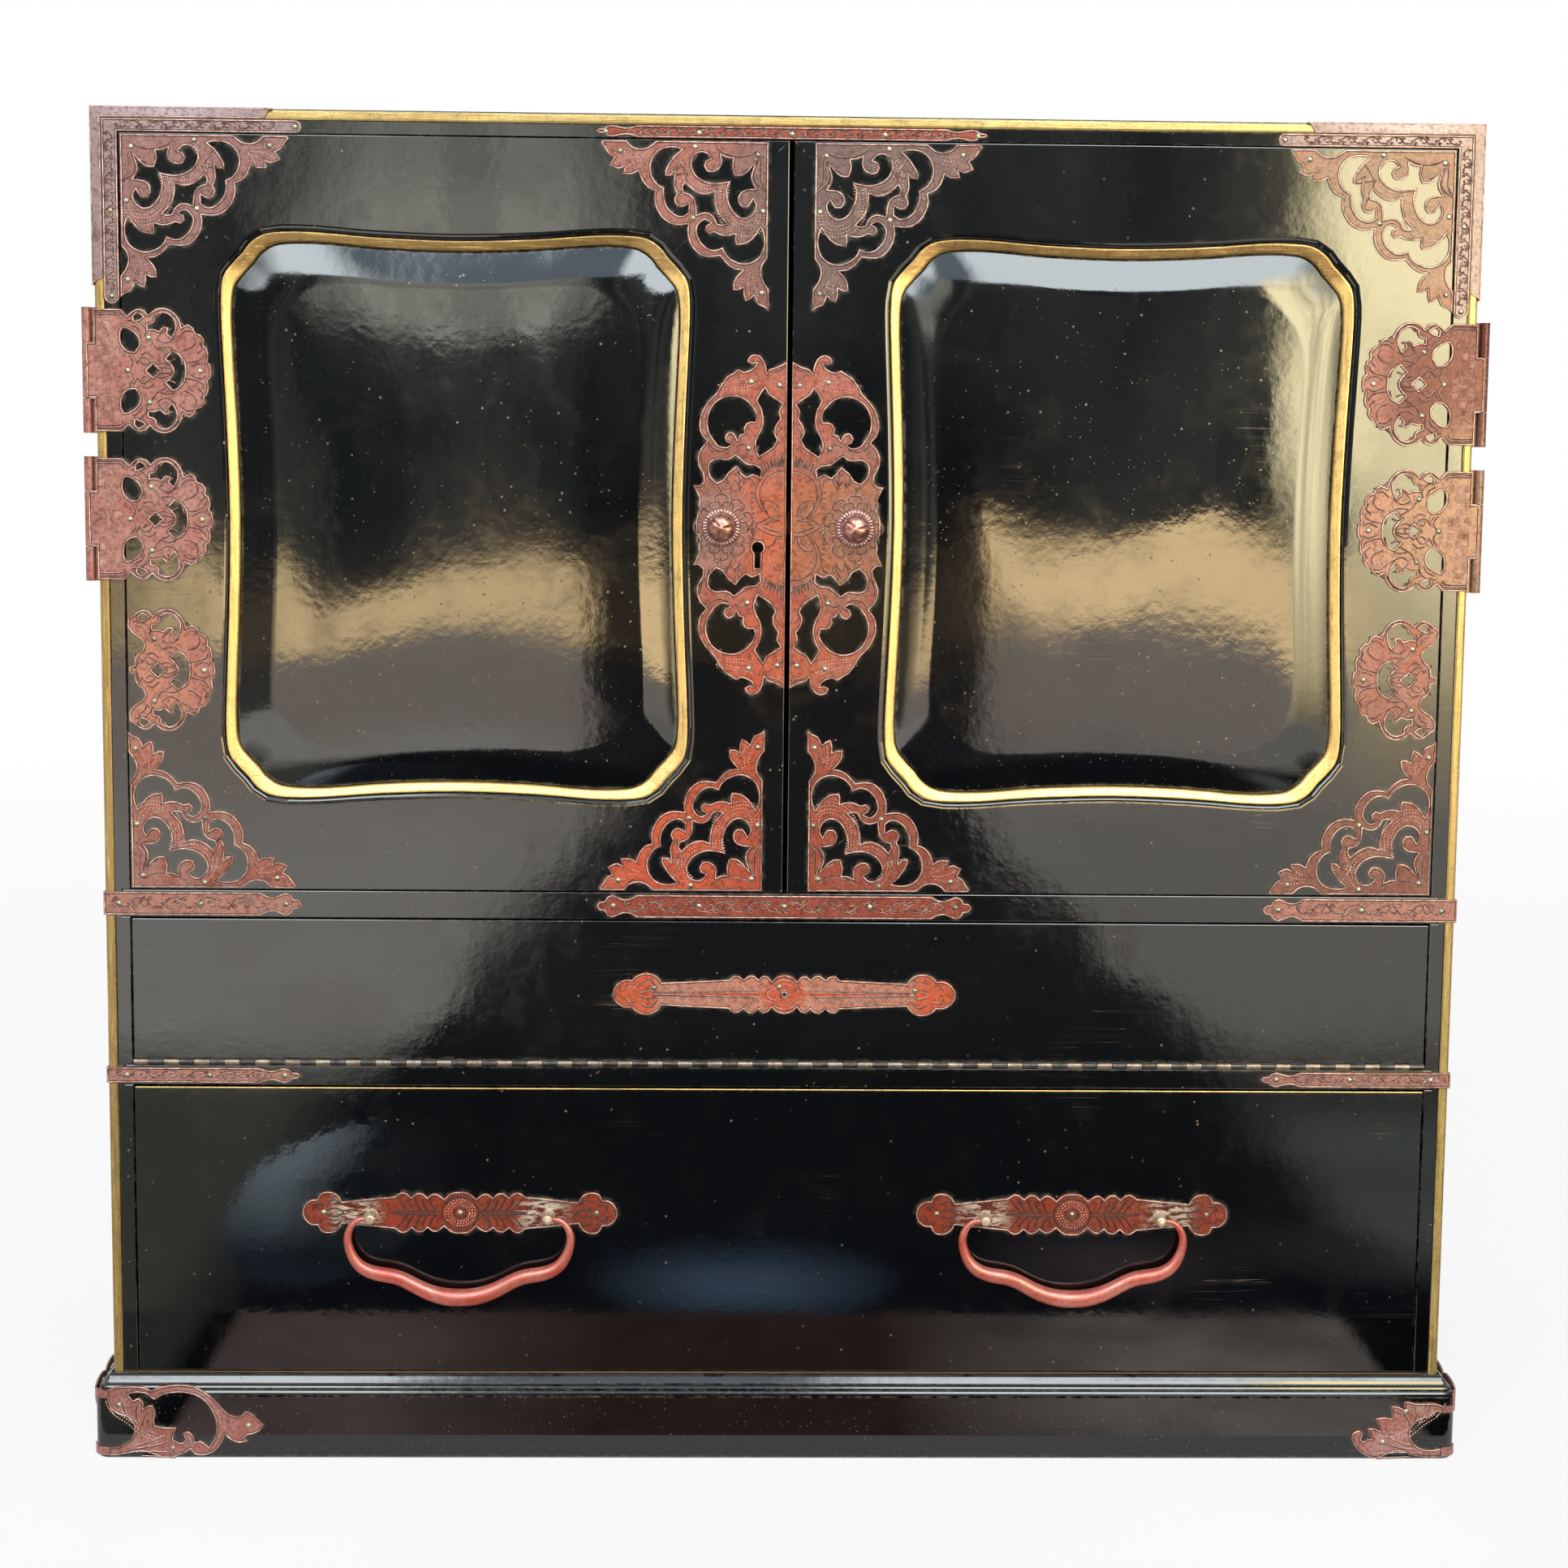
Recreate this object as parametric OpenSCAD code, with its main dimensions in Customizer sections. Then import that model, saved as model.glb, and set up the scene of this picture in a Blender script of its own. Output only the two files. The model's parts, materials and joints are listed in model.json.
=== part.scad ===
// Japanese storage chest: two panelled doors above a fall-front flap and a deep drawer.
// All lengths are millimetres. The origin is on the floor under the middle of the chest,
// X runs to the right, Y runs to the back and Z runs up.

/* [Case] */
// Width over the two side boards
case_w = 880; // [700:1:1100]
// Depth from the front edges of the boards to the back
case_d = 420; // [340:1:520]
// Thickness of the side boards
board_t = 16; // [12:0.5:22]
// Thickness of the top board
top_t = 15.4; // [13:0.1:22]
// Thickness of the bottom board
bottom_t = 16; // [12:0.5:20]
// Thickness of the back panel
back_t = 10; // [6:0.5:14]
// Thickness of the rail board under the doors
upper_rail_t = 17.7; // [15.6:0.1:24]
// Thickness of the rail board under the flap
lower_rail_t = 13.2; // [10.4:0.1:20]
// Depth of the grooves that hold the fixed boards in the sides
dado = 5; // [3:0.5:7]
// Height of the inner shelf above the upper rail board
shelf_up = 232; // [150:1:300]
// Thickness of the inner shelf
shelf_t = 14; // [10:0.5:18]
// Distance from the front of the case to the front of the shelf
shelf_back = 45; // [42:1:80]
// Width of the gilt edging
gilt_w = 6.4; // [4:0.1:8]
// Depth of the gilt edging
gilt_t = 4; // [3:0.1:6]

/* [Plinth] */
// Height of the plinth
plinth_h = 55; // [50:0.5:70]
// How far the plinth stands out from the case
plinth_proud = 11; // [10:0.5:16]
// Height of the ledge that carries the case
plinth_seat = 36; // [30:0.5:38]
// Width of the ledge that carries the case
plinth_ledge = 14; // [10:0.5:24]
// Radius of the plinth's upright corners
plinth_r = 9; // [6:0.5:10]

/* [Doors] */
// Height of the doors
door_h = 480; // [460:1:560]
// Thickness of the door frames
door_t = 22; // [20:0.5:26]
// How far the doors, the flap and the drawer stand in front of the board edges
door_proud = 0.3; // [0.3:0.1:1]
// Gap between the two doors
meet_gap = 3; // [2.5:0.1:4]
// Gap beside the doors, the flap and the drawer
side_gap = 0.8; // [0.5:0.1:1.5]
// Gap above and below the doors
door_gap = 0.7; // [0.5:0.1:2]
// Width of the door stiles up to the gilt moulding
stile_w = 62.2; // [60:0.1:80]
// Height of the door rails up to the gilt moulding
door_rail_h = 60; // [58:0.1:80]
// Thickness of the panel's edge in the groove
panel_t = 6; // [5:0.5:8]
// Depth of the groove for the panel
panel_groove = 6; // [4:0.5:10]
// Distance from the door's face to the panel's edge
panel_in = 11; // [9:0.5:13]
// Width of the gilt moulding
moulding_w = 6.2; // [4:0.1:9]
// Depth of the gilt moulding's front below the door's face
moulding_in = 1.2; // [0.5:0.1:3]
// Depth of the raised field below the door's face
field_in = 1.4; // [1:0.1:4]
// Width of the slope round the raised field
field_slope = 20; // [10:1:30]

/* [Flap and drawer] */
// Height of the flap
flap_h = 92.2; // [88:0.1:110]
// Thickness of the flap
flap_t = 18; // [15:0.5:20]
// Gap above the flap
flap_gap = 1; // [0.8:0.1:3]
// Height of the drawer front
drawer_h = 190.9; // [170:0.1:240]
// Thickness of the drawer front
drawer_t = 20; // [16:0.5:24]
// Gap above the drawer front
drawer_gap = 1.2; // [0.8:0.1:3]
// Gap between the plinth and the drawer front
drawer_under = 1.4; // [1.2:0.1:3]
// Thickness of the drawer's sides and back
drawer_side_t = 12; // [9:0.5:15]
// Thickness of the drawer's bottom
drawer_bottom_t = 6; // [4:0.5:9]
// How far the drawer's sides are lower than its front
drawer_side_drop = 14; // [8:1:40]

/* [Metalwork] */
// Thickness of the pierced mounts and straps
mount_t = 1; // [0.8:0.1:1.6]
// Thickness of the door hinge leaves
leaf_t = 1.3; // [1:0.1:1.6]
// Radius of the door hinge knuckles
knuckle_r = 2.9; // [2.6:0.1:3.4]
// Radius of the door hinge pins
pin_r = 1.3; // [1:0.1:1.6]
// Height of a door hinge
hinge_h = 79; // [78:0.5:84]
// Height of the middle knuckle of a door hinge
mid_knuckle_h = 34.6; // [28:0.1:40]
// Distance of the door hinge axis outside the case side
hinge_out = 5.7; // [5.5:0.1:7]
// Radius of the flap hinge knuckles
flap_knuckle_r = 2; // [1.8:0.1:2.6]
// Radius of the flap hinge pin
flap_pin_r = 0.9; // [0.7:0.05:1]
// Number of knuckles in the flap hinge
flap_knuckles = 86; // [60:2:110]
// Gap between neighbouring knuckles
knuckle_gap = 0.3; // [0.3:0.05:0.5]
// Radial clearance of a pin in its bore
pin_clear = 0.05; // [0.02:0.01:0.1]
// Radius of a nail head
nail_r = 1.9; // [1.5:0.1:2.1]
// Height of a nail head
nail_head = 0.9; // [0.6:0.1:1.4]
// Length of a nail behind the mount's back face
nail_in = 8; // [5:0.5:11]
// Reach of a door's corner mounts along the rail
corner_mount_w = 107; // [98:0.5:116]
// Reach of a door's corner mounts along the stile
corner_mount_h = 105.5; // [98:0.5:112]
// Height of the lock plate
lock_plate_h = 217.6; // [200:0.1:230]
// Length of the flap's plate
flap_plate_l = 224.6; // [200:0.1:260]
// Length of the handle plates
handle_plate_l = 207; // [200:0.5:220]
// Length of the middle strap of the upper rail
rail_strap_l = 245; // [200:0.5:280]
// Length of the middle strap of the top
top_strap_l = 248; // [200:0.5:280]
// Length of the straps at the ends of the rails
end_strap_l = 127; // [100:0.5:150]
// Length of the top corner straps along the top
corner_strap_l = 125; // [100:0.5:150]
// Length of the plinth's corner mounts
plinth_mount_l = 100; // [90:0.5:110]
// How far the knobs stand in front of the door's face
knob_reach = 15.2; // [13:0.1:18]
// Width of the lock bolt
bolt_h = 12; // [8:0.5:14]
// Thickness of the lock bolt
bolt_t = 4; // [3:0.5:5]
// Distance of the bail's pins in front of the drawer
bail_out = 8.7; // [8.2:0.1:10]
// Distance from the middle of a bail to each of its posts
post_x = 58; // [57:0.5:62]
// Radius of the bail posts
post_r = 3.4; // [3:0.1:4]

/* [Hidden] */
// Pieces in the order in which they are listed

$fn = 48;
eps = 0.01;

// Case levels and faces, all worked out from the sizes above
side_x = case_w / 2;
inner_x = side_x - board_t;
bottom_top = plinth_h + 0.4;
drawer_z = plinth_h + drawer_under;
lower_rail_z = drawer_z + drawer_h + drawer_gap;
lower_rail_top = lower_rail_z + lower_rail_t;
slide_clear = 0.3;
flap_axis_z = lower_rail_top + flap_knuckle_r + slide_clear;
flap_z = flap_axis_z + flap_knuckle_r + slide_clear;
upper_rail_z = flap_z + flap_h + flap_gap;
upper_rail_top = upper_rail_z + upper_rail_t;
door_z = upper_rail_top + door_gap;
top_z = door_z + door_h + door_gap;
top_lap = 7.4;
total_h = top_z + top_t;
back_rebate = board_t / 2;
inner_d = case_d - back_t;
front_y = -(case_d - door_proud - knob_reach) / 2;

// Doors
face_y = -door_proud;
leaf_y = face_y - leaf_t;
mount_y = face_y - mount_t;
door_edge_x = inner_x - side_gap;
door_meet_x = meet_gap / 2;
door_w = door_edge_x - door_meet_x;
door_mid_x = (door_edge_x + door_meet_x) / 2;
door_mid_z = door_z + door_h / 2;
panel_hw = door_w / 2 - stile_w;
panel_hh = door_h / 2 - door_rail_h;
moulding_gap = 0.8;
cusp_x = 14;
cusp_z = 13.5;
hinge_axis_x = side_x + hinge_out;
hinge_axis_y = leaf_y + knuckle_r;
hinge_z = [door_mid_z + door_h * 0.1917, door_mid_z - 1.7];
flower_z = door_mid_z - door_h * 0.2042;
case_leaf_d = 27;

// Lock and keep, behind the meeting stiles
lock_z = door_mid_z - 2.3;
bolt_z = lock_z - 1.3;
keyhole_x = 19.5;
keyhole_z = lock_z - 14;
lock_w = 60;
lock_h = 70;
lock_t = 12;
lock_wall = 2;
lock_y = face_y + door_t;
bolt_y = lock_y + (lock_t - bolt_t) / 2;
bolt_l = 34;
bolt_tip_x = door_meet_x - 1.1;
bolt_throw = 10;
keep_w = 24;
keep_h = 30;
lock_back = 0.5;
knob_x = 43;
knob_z = lock_z - 1.3;

// Flap hinge and stays
flap_axis_y = -0.6;
flap_leaf_t = 1;
flap_leaf_w = 12.6;
flap_half = inner_x - side_gap;
stay_r = flap_h - 7.2;
stay_in = 25;
stay_a_y = flap_axis_y + stay_in;
stay_a_z = flap_axis_z + sqrt(stay_r * stay_r - stay_in * stay_in);
stay_b_y = flap_axis_y + stay_r * cos(50);
stay_b_z = flap_axis_z + stay_r * sin(50);
stay_t = 2.5;
stay_w = 10;
stay_pin_r = 2;
stay_wall_gap = 3;
stay_x = inner_x - stay_wall_gap - stay_t;
stay_closed = 2 * stay_r * sin((acos(stay_in / stay_r) - 50) / 2);
stay_open = 2 * stay_r * sin((acos(stay_in / stay_r) + 90 - 50) / 2);
stay_dir = atan2(stay_b_z - stay_a_z, stay_b_y - stay_a_y);
flap_mid_z = flap_z + flap_h * 0.48;

// Drawer and handles
drawer_half = inner_x - side_gap;
drawer_face_y = face_y;
drawer_lap = drawer_t / 2;
drawer_side_z = bottom_top + 0.4;
drawer_side_top = drawer_z + drawer_h - drawer_side_drop;
drawer_back_y = inner_d - 0.6;
drawer_groove_z = drawer_z + 7;
drawer_groove = 5;
handle_x = [-side_x * 0.48023, side_x * 0.43727];
handle_z = drawer_z + drawer_h * 0.562;
bail_y = drawer_face_y - bail_out;
bail_drop = 2;
bail_z = handle_z - bail_drop;
bail_pin_r = 1.7;
plate_t = 1.2;

// Strap heights, centred on the rails that they cover
wrap_d = 22;
upper_strap_h = 15.2;
lower_strap_h = 10.2;
top_strap_h = 7.6;
upper_strap_z = upper_rail_z + upper_rail_t / 2;
lower_strap_z = lower_rail_z + lower_rail_t / 2;
top_strap_z = top_z + 4;

// Straps of the top corners reach down to just above the upper hinges
gilt_low = total_h - mount_t - gilt_w;
corner_strap_low = hinge_z[0] + hinge_h / 2 + 2.2;

// Size of each ornament against the size at which its outline is drawn
corner_sx = corner_mount_w / 107;
corner_sz = corner_mount_h / 105.5;
lock_s = lock_plate_h / 217.6;
hinge_s = hinge_h / 79;
flap_plate_s = flap_plate_l / 224.6;
handle_plate_s = handle_plate_l / 207;
plinth_mount_s = plinth_mount_l / 100;
rail_strap_half = rail_strap_l / 2;
top_strap_half = top_strap_l / 2;

// Plinth moulding, as distance out from the case and height
plinth_c = plinth_proud - plinth_r;
plinth_profile = [
    [-plinth_ledge, 0],
    [plinth_proud - 1.5, 0],
    [plinth_proud - 0.4, 1.2],
    [plinth_proud, 3],
    [plinth_proud, plinth_h - 13.4],
    [plinth_proud - 0.8, plinth_h - 12.9],
    [plinth_proud - 0.2, plinth_h - 12],
    [plinth_proud - 0.2, plinth_h - 10.6],
    [plinth_proud - 1, plinth_h - 9.5],
    [plinth_proud - 2.4, plinth_h - 9],
    [plinth_proud - 2.4, plinth_h - 8.5],
    [plinth_proud - 2.2, plinth_h - 7.8],
    [plinth_proud - 2.7, plinth_h - 6.8],
    [plinth_proud - 3.8, plinth_h - 6.1],
    [plinth_proud - 5, plinth_h - 5.9],
    [plinth_proud - 5.1, plinth_h - 5.3],
    [plinth_proud - 6, plinth_h - 3.5],
    [plinth_proud - 7.6, plinth_h - 1.6],
    [plinth_proud - 9.4, plinth_h - 0.3],
    [0, plinth_h],
    [0, plinth_seat],
    [-plinth_ledge, plinth_seat]
];

// Drawing aids for the pierced work. A point with a third number is a sharp corner,
// every other point is passed smoothly.
function xy(p) = [p[0], p[1]];

function bend(a, b, m, n, t) =
    a * (2 * pow(t, 3) - 3 * pow(t, 2) + 1)
    + m * (pow(t, 3) - 2 * pow(t, 2) + t)
    + b * (3 * pow(t, 2) - 2 * pow(t, 3))
    + n * (pow(t, 3) - pow(t, 2));

function smooth(P, step = 2.6) = [
    for (i = [0:len(P) - 1])
    let (N = len(P),
         p = P[i],
         q = P[(i + 1) % N],
         a = xy(p),
         b = xy(q),
         m = is_num(p[2]) ? b - a : (b - xy(P[(i + N - 1) % N])) / 2,
         n = is_num(q[2]) ? b - a : (xy(P[(i + 2) % N]) - a) / 2,
         sharp = is_num(p[2]) && is_num(q[2]),
         steps = sharp ? 1 : max(1, min(4, round(norm(b - a) / step))))
    for (k = [0:steps - 1])
    bend(a, b, m, n, k / steps)
];

function scaled(P, sx, sz) = [for (p = P) [p[0] * sx, p[1] * sz, p[2]]];

function fold_x(P) = concat(P, [
    for (i = [len(P) - 2:-1:0]) [-P[i][0], P[i][1], P[i][2]]
]);

function fold_z(P, skip) = concat(P, [
    for (i = [len(P) - skip:-1:1]) [P[i][0], -P[i][1], P[i][2]]
]);

module place() {
    translate([0, front_y, 0]) children();
}

// Stands a flat outline up, with its front at y and its thickness to the back
module sheet(y, t) {
    translate([0, y + t, 0]) rotate([90, 0, 0]) linear_extrude(t) children();
}

// Same, standing on the right-hand side of the case, from x outwards
module side_sheet(x, t) {
    translate([x, 0, 0]) rotate([90, 0, 90]) linear_extrude(t) children();
}

module box(x0, x1, y0, y1, z0, z1) {
    translate([x0, y0, z0]) cube([x1 - x0, y1 - y0, z1 - z0]);
}

module pair() {
    children();
    mirror([1, 0, 0]) children();
}

module nail(x, z, y) {
    translate([x, y, z]) rotate([90, 0, 0]) {
        cylinder(h = nail_head, r1 = nail_r, r2 = nail_r * 0.55, $fn = 16);
        translate([0, 0, -nail_in]) cylinder(h = nail_in + eps, r = 0.8, $fn = 12);
    }
}

// Lobed outline of the door panels, from its half width and half height
function lobe_quarter(w, h) = [
    [w - 4.2, 0],
    [w - 2.8, h * 0.34],
    [w - 0.4, h - 62],
    [w - 0.2, h - 40],
    [w - 2, h - 28],
    [w - 7.5, h - 20.3],
    [w - cusp_x, h - cusp_z, 1],
    [w - 18.8, h - 7.3],
    [w - 27, h - 1.9],
    [w - 40, h],
    [w - 62, h - 0.3],
    [w * 0.34, h - 3],
    [0, h - 4.6]
];

function lobe(w, h) = smooth(fold_z(fold_x(lobe_quarter(w, h)), 2), 14);

// Corner mount of the doors, from its corner point, up and to the right
corner_outer = [
    [1, 0, 1], [1, 72.5, 1], [4, 76.5], [5, 81.5], [3, 87.5], [0, 91.5, 1],
    [0, 105.5, 1], [3, 103], [7, 101.3], [9.5, 96, 1], [12, 98.3], [15, 99.5, 1],
    [16.3, 95], [16.3, 91, 1], [19, 92.6], [23, 92.4, 1], [22.5, 87], [20, 82.8],
    [17, 80, 1], [22, 79.5], [27, 76.2], [31.3, 71.2, 1], [37, 72], [43, 71.2],
    [48.3, 66.8], [51.5, 60.5], [52.2, 54.5], [51.5, 51.6, 1], [56, 52.3],
    [62, 51.8], [68, 48], [72, 41.5], [73.3, 35.5], [72.6, 31, 1], [77.2, 29.2],
    [81, 24.8], [83, 19, 1], [87, 21.2], [93, 21, 1], [91.6, 16.2, 1], [95.5, 18],
    [101.5, 15.4, 1], [98.6, 10.6, 1], [102.2, 8.4], [104.6, 4.6], [107, 1.4, 1],
    [105.4, 0, 1], [90.6, 0, 1], [87, 3.6], [82, 5], [77, 4], [72, 0, 1]
];
corner_holes = [
    [[5.5, 53.6, 1], [3.8, 58.6], [3.7, 64.6], [6, 70.6], [11, 74.5], [17, 75.5],
     [24, 73], [28, 69], [29.4, 65.5, 1], [34, 67.3], [39, 66.4], [44, 61.5],
     [46, 55.5], [44.6, 51.4], [41, 48.8], [37.2, 50.6, 1], [40.2, 52], [41, 55],
     [38.5, 57.6], [35, 56.6, 1], [30.5, 58.6], [26, 58.8], [21.6, 57.6, 1],
     [22, 61.5], [21, 64.5, 1], [15, 63.6], [10, 60]],
    [[27, 51, 1], [30, 51.7], [33, 51, 1], [34.5, 47.6], [37.5, 44.8],
     [41.5, 43.9], [46, 45.5, 1], [46.3, 40.5], [47.5, 36], [50.5, 32.8],
     [54.5, 31.5, 1], [55, 28.5], [53.5, 26, 1], [49.5, 30], [44, 32.8],
     [39, 33], [35, 31, 1], [35.3, 36.5], [33.8, 42.5], [30.8, 47.5]],
    [[51.3, 44, 1], [54, 46.1], [58, 46.3], [63, 43], [66, 38], [67, 32.5],
     [66.5, 29, 1], [70.5, 27], [74, 22.5], [75.3, 16.5], [74, 11], [70.5, 6.8],
     [66, 4.7], [60.5, 4.3], [56, 5.2, 1], [60.5, 9], [64, 14], [66.3, 18.5],
     [66.3, 22, 1], [62.5, 21.3], [59.8, 18.5, 1], [60.8, 23.5], [60.8, 28.5],
     [59, 32.5, 1], [60.6, 36.5], [58.8, 40.1], [55, 41.1], [51.2, 38.8, 1]],
    [[10.6, 35.8, 1], [8.9, 39.5], [10.6, 44.3], [15, 47.2], [20, 46], [24, 41.5],
     [26.3, 35.5], [26.8, 29.5], [24.6, 24.1, 1], [29, 25.1], [35, 25.9],
     [41.5, 24.5], [47, 20.5], [49.5, 14.5], [48.3, 9.3], [44, 7], [40, 7.8],
     [37.5, 10.5, 1], [40.6, 11.7], [42, 15.1], [40.3, 18.5], [36.3, 19.3],
     [32, 17.1], [30.2, 12.8], [31, 8.5, 1], [27.5, 10.2], [23.5, 10.5, 1],
     [24.2, 15.5], [22.5, 21.1, 1], [18, 21.3], [13.5, 18.3], [9.5, 13, 1],
     [11.2, 17.5], [12.3, 21.5, 1], [11.4, 25.5], [9, 29, 1], [12.5, 29.1],
     [17, 30.2], [19.9, 33.5], [20, 37.5], [17.5, 40.7], [13.8, 40.8],
     [12, 38.6]]
];
corner_nails = [[4.6, 94], [4.4, 43], [48.6, 47.6], [8, 8], [47.5, 3.4], [94.5, 6.6]];

// Flower of the hinges and of the matching mount: distance in from the case edge, height
flower_edge = [
    [74.3, 0], [73.6, 4.5, 1], [71.8, 6, 1], [72.6, 10.5], [71.6, 14.5, 1],
    [69.6, 16.2, 1], [70, 20], [67.6, 23], [64.5, 24, 1], [63, 27.5], [60, 29.3],
    [56, 27.5, 1], [54.3, 32.5], [50.8, 37], [45, 39.5], [39, 38.3], [35, 35, 1],
    [32.5, 37.8], [29, 38.8], [25, 37.3], [21.5, 34.3, 1]
];
hinge_outer = fold_z(concat(flower_edge, [[17.5, 38.5, 1], [0.5, 38.5, 1]]), 1);
flower_outer = fold_z(concat(flower_edge, [
    [19, 33, 1], [18.4, 28, 1], [22, 22.8], [27.4, 19.5], [29, 15.5], [27.6, 12, 1],
    [24, 9.4], [22.6, 5.5], [22.6, 3, 1], [19.2, 1.8, 1]
]), 1);
flower_holes = [
    [[39.5, 34], [44, 36.2], [48.5, 34.5], [51.5, 30.5], [51.5, 25.5], [49.2, 21, 1],
     [46.8, 23.5], [48, 27, 1], [44.5, 27.8], [41.5, 25, 1], [38, 26.3],
     [34.5, 26, 1], [34.5, 28.5, 1], [37.8, 29.5], [39.5, 31.5, 1]],
    [[26, 31.2, 1], [25.6, 34], [28, 36], [31.5, 33.6, 1], [29.5, 32.2]]
];
hinge_nails = [[35, 20.5], [35, -20], [67, 0], [21.5, 0]];
flower_nails = [[35.5, 20], [35, -20], [67, 0]];
hinge_tear = [
    [19, 26.6], [17.2, 22], [18, 16.5], [21.5, 12.5], [26, 11.8, 1], [28.8, 16],
    [28.3, 20.5], [24.5, 24.5]
];
flower_crescent = fold_z([
    [57.6, 0], [56.6, 6], [53.8, 9.8], [50, 11.8, 1], [46, 7.6, 1], [49.4, 4.2],
    [51.2, 0]
], 2);
flower_eye = fold_z([[42, 0, 1], [37.5, 4, 1], [33.4, 0, 1]], 2);

// Half of the lock plate: distance from the doors' meeting line, height
lock_outer = fold_z([
    [59.3, 0], [59, 5], [56.5, 9.5, 1], [57.8, 13], [57, 17, 1], [61, 25.5, 1],
    [57, 25.5], [54.5, 28, 1], [55, 32.5, 1], [58, 38], [58.5, 43.5], [56.5, 49],
    [52.3, 53.5, 1], [56, 57.5], [57.6, 63.5], [56.5, 70.5], [53, 77.5],
    [46.5, 84.5, 1], [44.8, 88, 1], [42.8, 91, 1], [40, 94.8, 1], [36, 97, 1],
    [32.5, 99.3], [29.2, 97.6, 1], [25.6, 98.8], [22.6, 100.6], [21.3, 103.2, 1],
    [24, 102.4], [27.2, 104], [25.6, 107.6], [21.5, 108.8], [17.5, 106.5],
    [15.2, 101.5], [14.6, 97, 1], [13, 99.6], [8.4, 101], [5.4, 102.4, 1],
    [1.6, 104.6, 1]
], 1);
lock_holes = [
    [[21.8, 66.2, 1], [20.7, 69], [22.4, 73.5], [28, 79.5], [35, 82], [43, 80.5],
     [49, 75.5], [52, 67.5], [51, 59.5], [47.5, 54, 1], [45, 51], [40, 50],
     [36.7, 51.8, 1], [40, 53], [41.3, 56.3], [38.5, 59.7], [34.7, 58.3],
     [33, 54.5, 1], [31.5, 58], [28.6, 58.9, 1], [29.3, 62], [27.6, 65.3],
     [24.8, 66.4]],
    [[19, 44.5, 1], [21.2, 50.5], [20.3, 55.5], [17.3, 61.5], [16.3, 67.5],
     [17.6, 74.5], [20.4, 79.5], [19, 82.5], [15.5, 87.5, 1], [13.5, 83.5],
     [9, 80.5], [4.6, 77.5, 1], [7, 73], [6, 68.2, 1], [9, 63.8], [9.8, 58.5],
     [8, 55, 1], [10, 50.7, 1], [14.5, 47.4, 1], [16.6, 46.2, 1]],
    [[51, 37.5], [50, 31.5], [46, 27.5, 1], [42, 29.5], [39, 34, 1],
     [33.5, 38.3, 1], [30, 33.5, 1], [27, 31.2], [23, 33.3], [18.4, 31, 1],
     [17.8, 35.5, 1], [21, 38], [27, 38.7], [31, 42], [34.5, 44.4, 1], [39, 41.5],
     [46, 42], [50, 40]]
];
lock_nails = [[6.4, 89.5], [24.5, 91.5], [26, 49.4], [6.4, -89.5], [24.5, -91.5], [26, -49.4]];

// Long plates of the flap and of the drawer handles: distance from the middle, height
flap_plate_edge = [
    [0, 13], [5, 11.7], [8.2, 8.8, 1], [10.8, 11.8], [14, 12.6], [17, 9.9, 1],
    [20, 12.5], [23, 12.8], [26.8, 9.9, 1], [29.8, 12.2], [33, 12.5],
    [36.2, 9.7, 1], [80.2, 7.6, 1], [82.5, 11], [87, 13.6], [92.5, 13.8],
    [97.5, 11.6], [99.8, 9.2, 1], [104, 9.4], [109.5, 6.4], [112.3, 0]
];
handle_plate_edge = [
    [0, 14.2], [5.5, 13.6], [10.5, 9.6, 1], [13.5, 12], [17.5, 13.2],
    [21.5, 10.4, 1], [24.5, 13.2], [28, 13.6], [32, 10.6, 1], [35.5, 13.5],
    [38.5, 14], [43, 11, 1], [77.5, 7.4, 1], [79, 10.5], [82.5, 13.4],
    [87.5, 14.2], [91.5, 12.8], [93.5, 8.9, 1], [98, 8.5], [102, 5], [103.5, 0]
];

function long_plate(edge) = smooth(fold_z(
    concat([for (i = [len(edge) - 1:-1:0]) edge[i]],
           [for (i = [1:len(edge) - 1]) [-edge[i][0], edge[i][1], edge[i][2]]]), 2));

// Middle line and radius of half a bail, from the middle of its grip to the pin's end
bail_half = [
    [0, -53.3, 6.1], [10, -52.6, 6], [20, -49.8, 5.6], [29, -45.2, 5.2],
    [36.5, -40.8, 5.1], [43.5, -38.4, 5.2], [51, -37.6, 5.1], [59, -35.8, 4.8],
    [65.5, -32, 4.3], [70, -26, 3.6], [73, -17.5, 3], [73.2, -10.5, 2.7],
    [70.6, -4.6, 2.3], [67, -1.2, 1.9], [63.4, 0, bail_pin_r]
];

// Plinth mounts on the front: distance in from the case side, height
ring_outer = [
    [-2.3, 46, 1], [2, 48.2], [12, 49.2], [21, 48.8], [27, 46.2, 1], [32, 48.6],
    [42, 50.2], [52, 49.8], [59, 47], [66, 42], [72, 35.5], [77, 30.5],
    [83, 28.6, 1], [86, 30], [88.5, 32.4, 1], [92, 31], [96, 27], [100.2, 23, 1],
    [97, 18.5], [92, 16.4, 1], [89, 16, 1], [87.5, 14], [89.6, 12, 1], [84, 10.6],
    [78, 13], [74.6, 16.5, 1], [72, 10], [67, 4.6], [60.4, 2.2], [54.5, 3],
    [51.6, 6.4, 1], [47.5, 3.4], [41, 1.2], [36, 0.4], [31, 1.6], [25, 4, 1],
    [19, 5], [11, 3.6], [3, 2.2], [-2.3, 2.2, 1]
];
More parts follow.
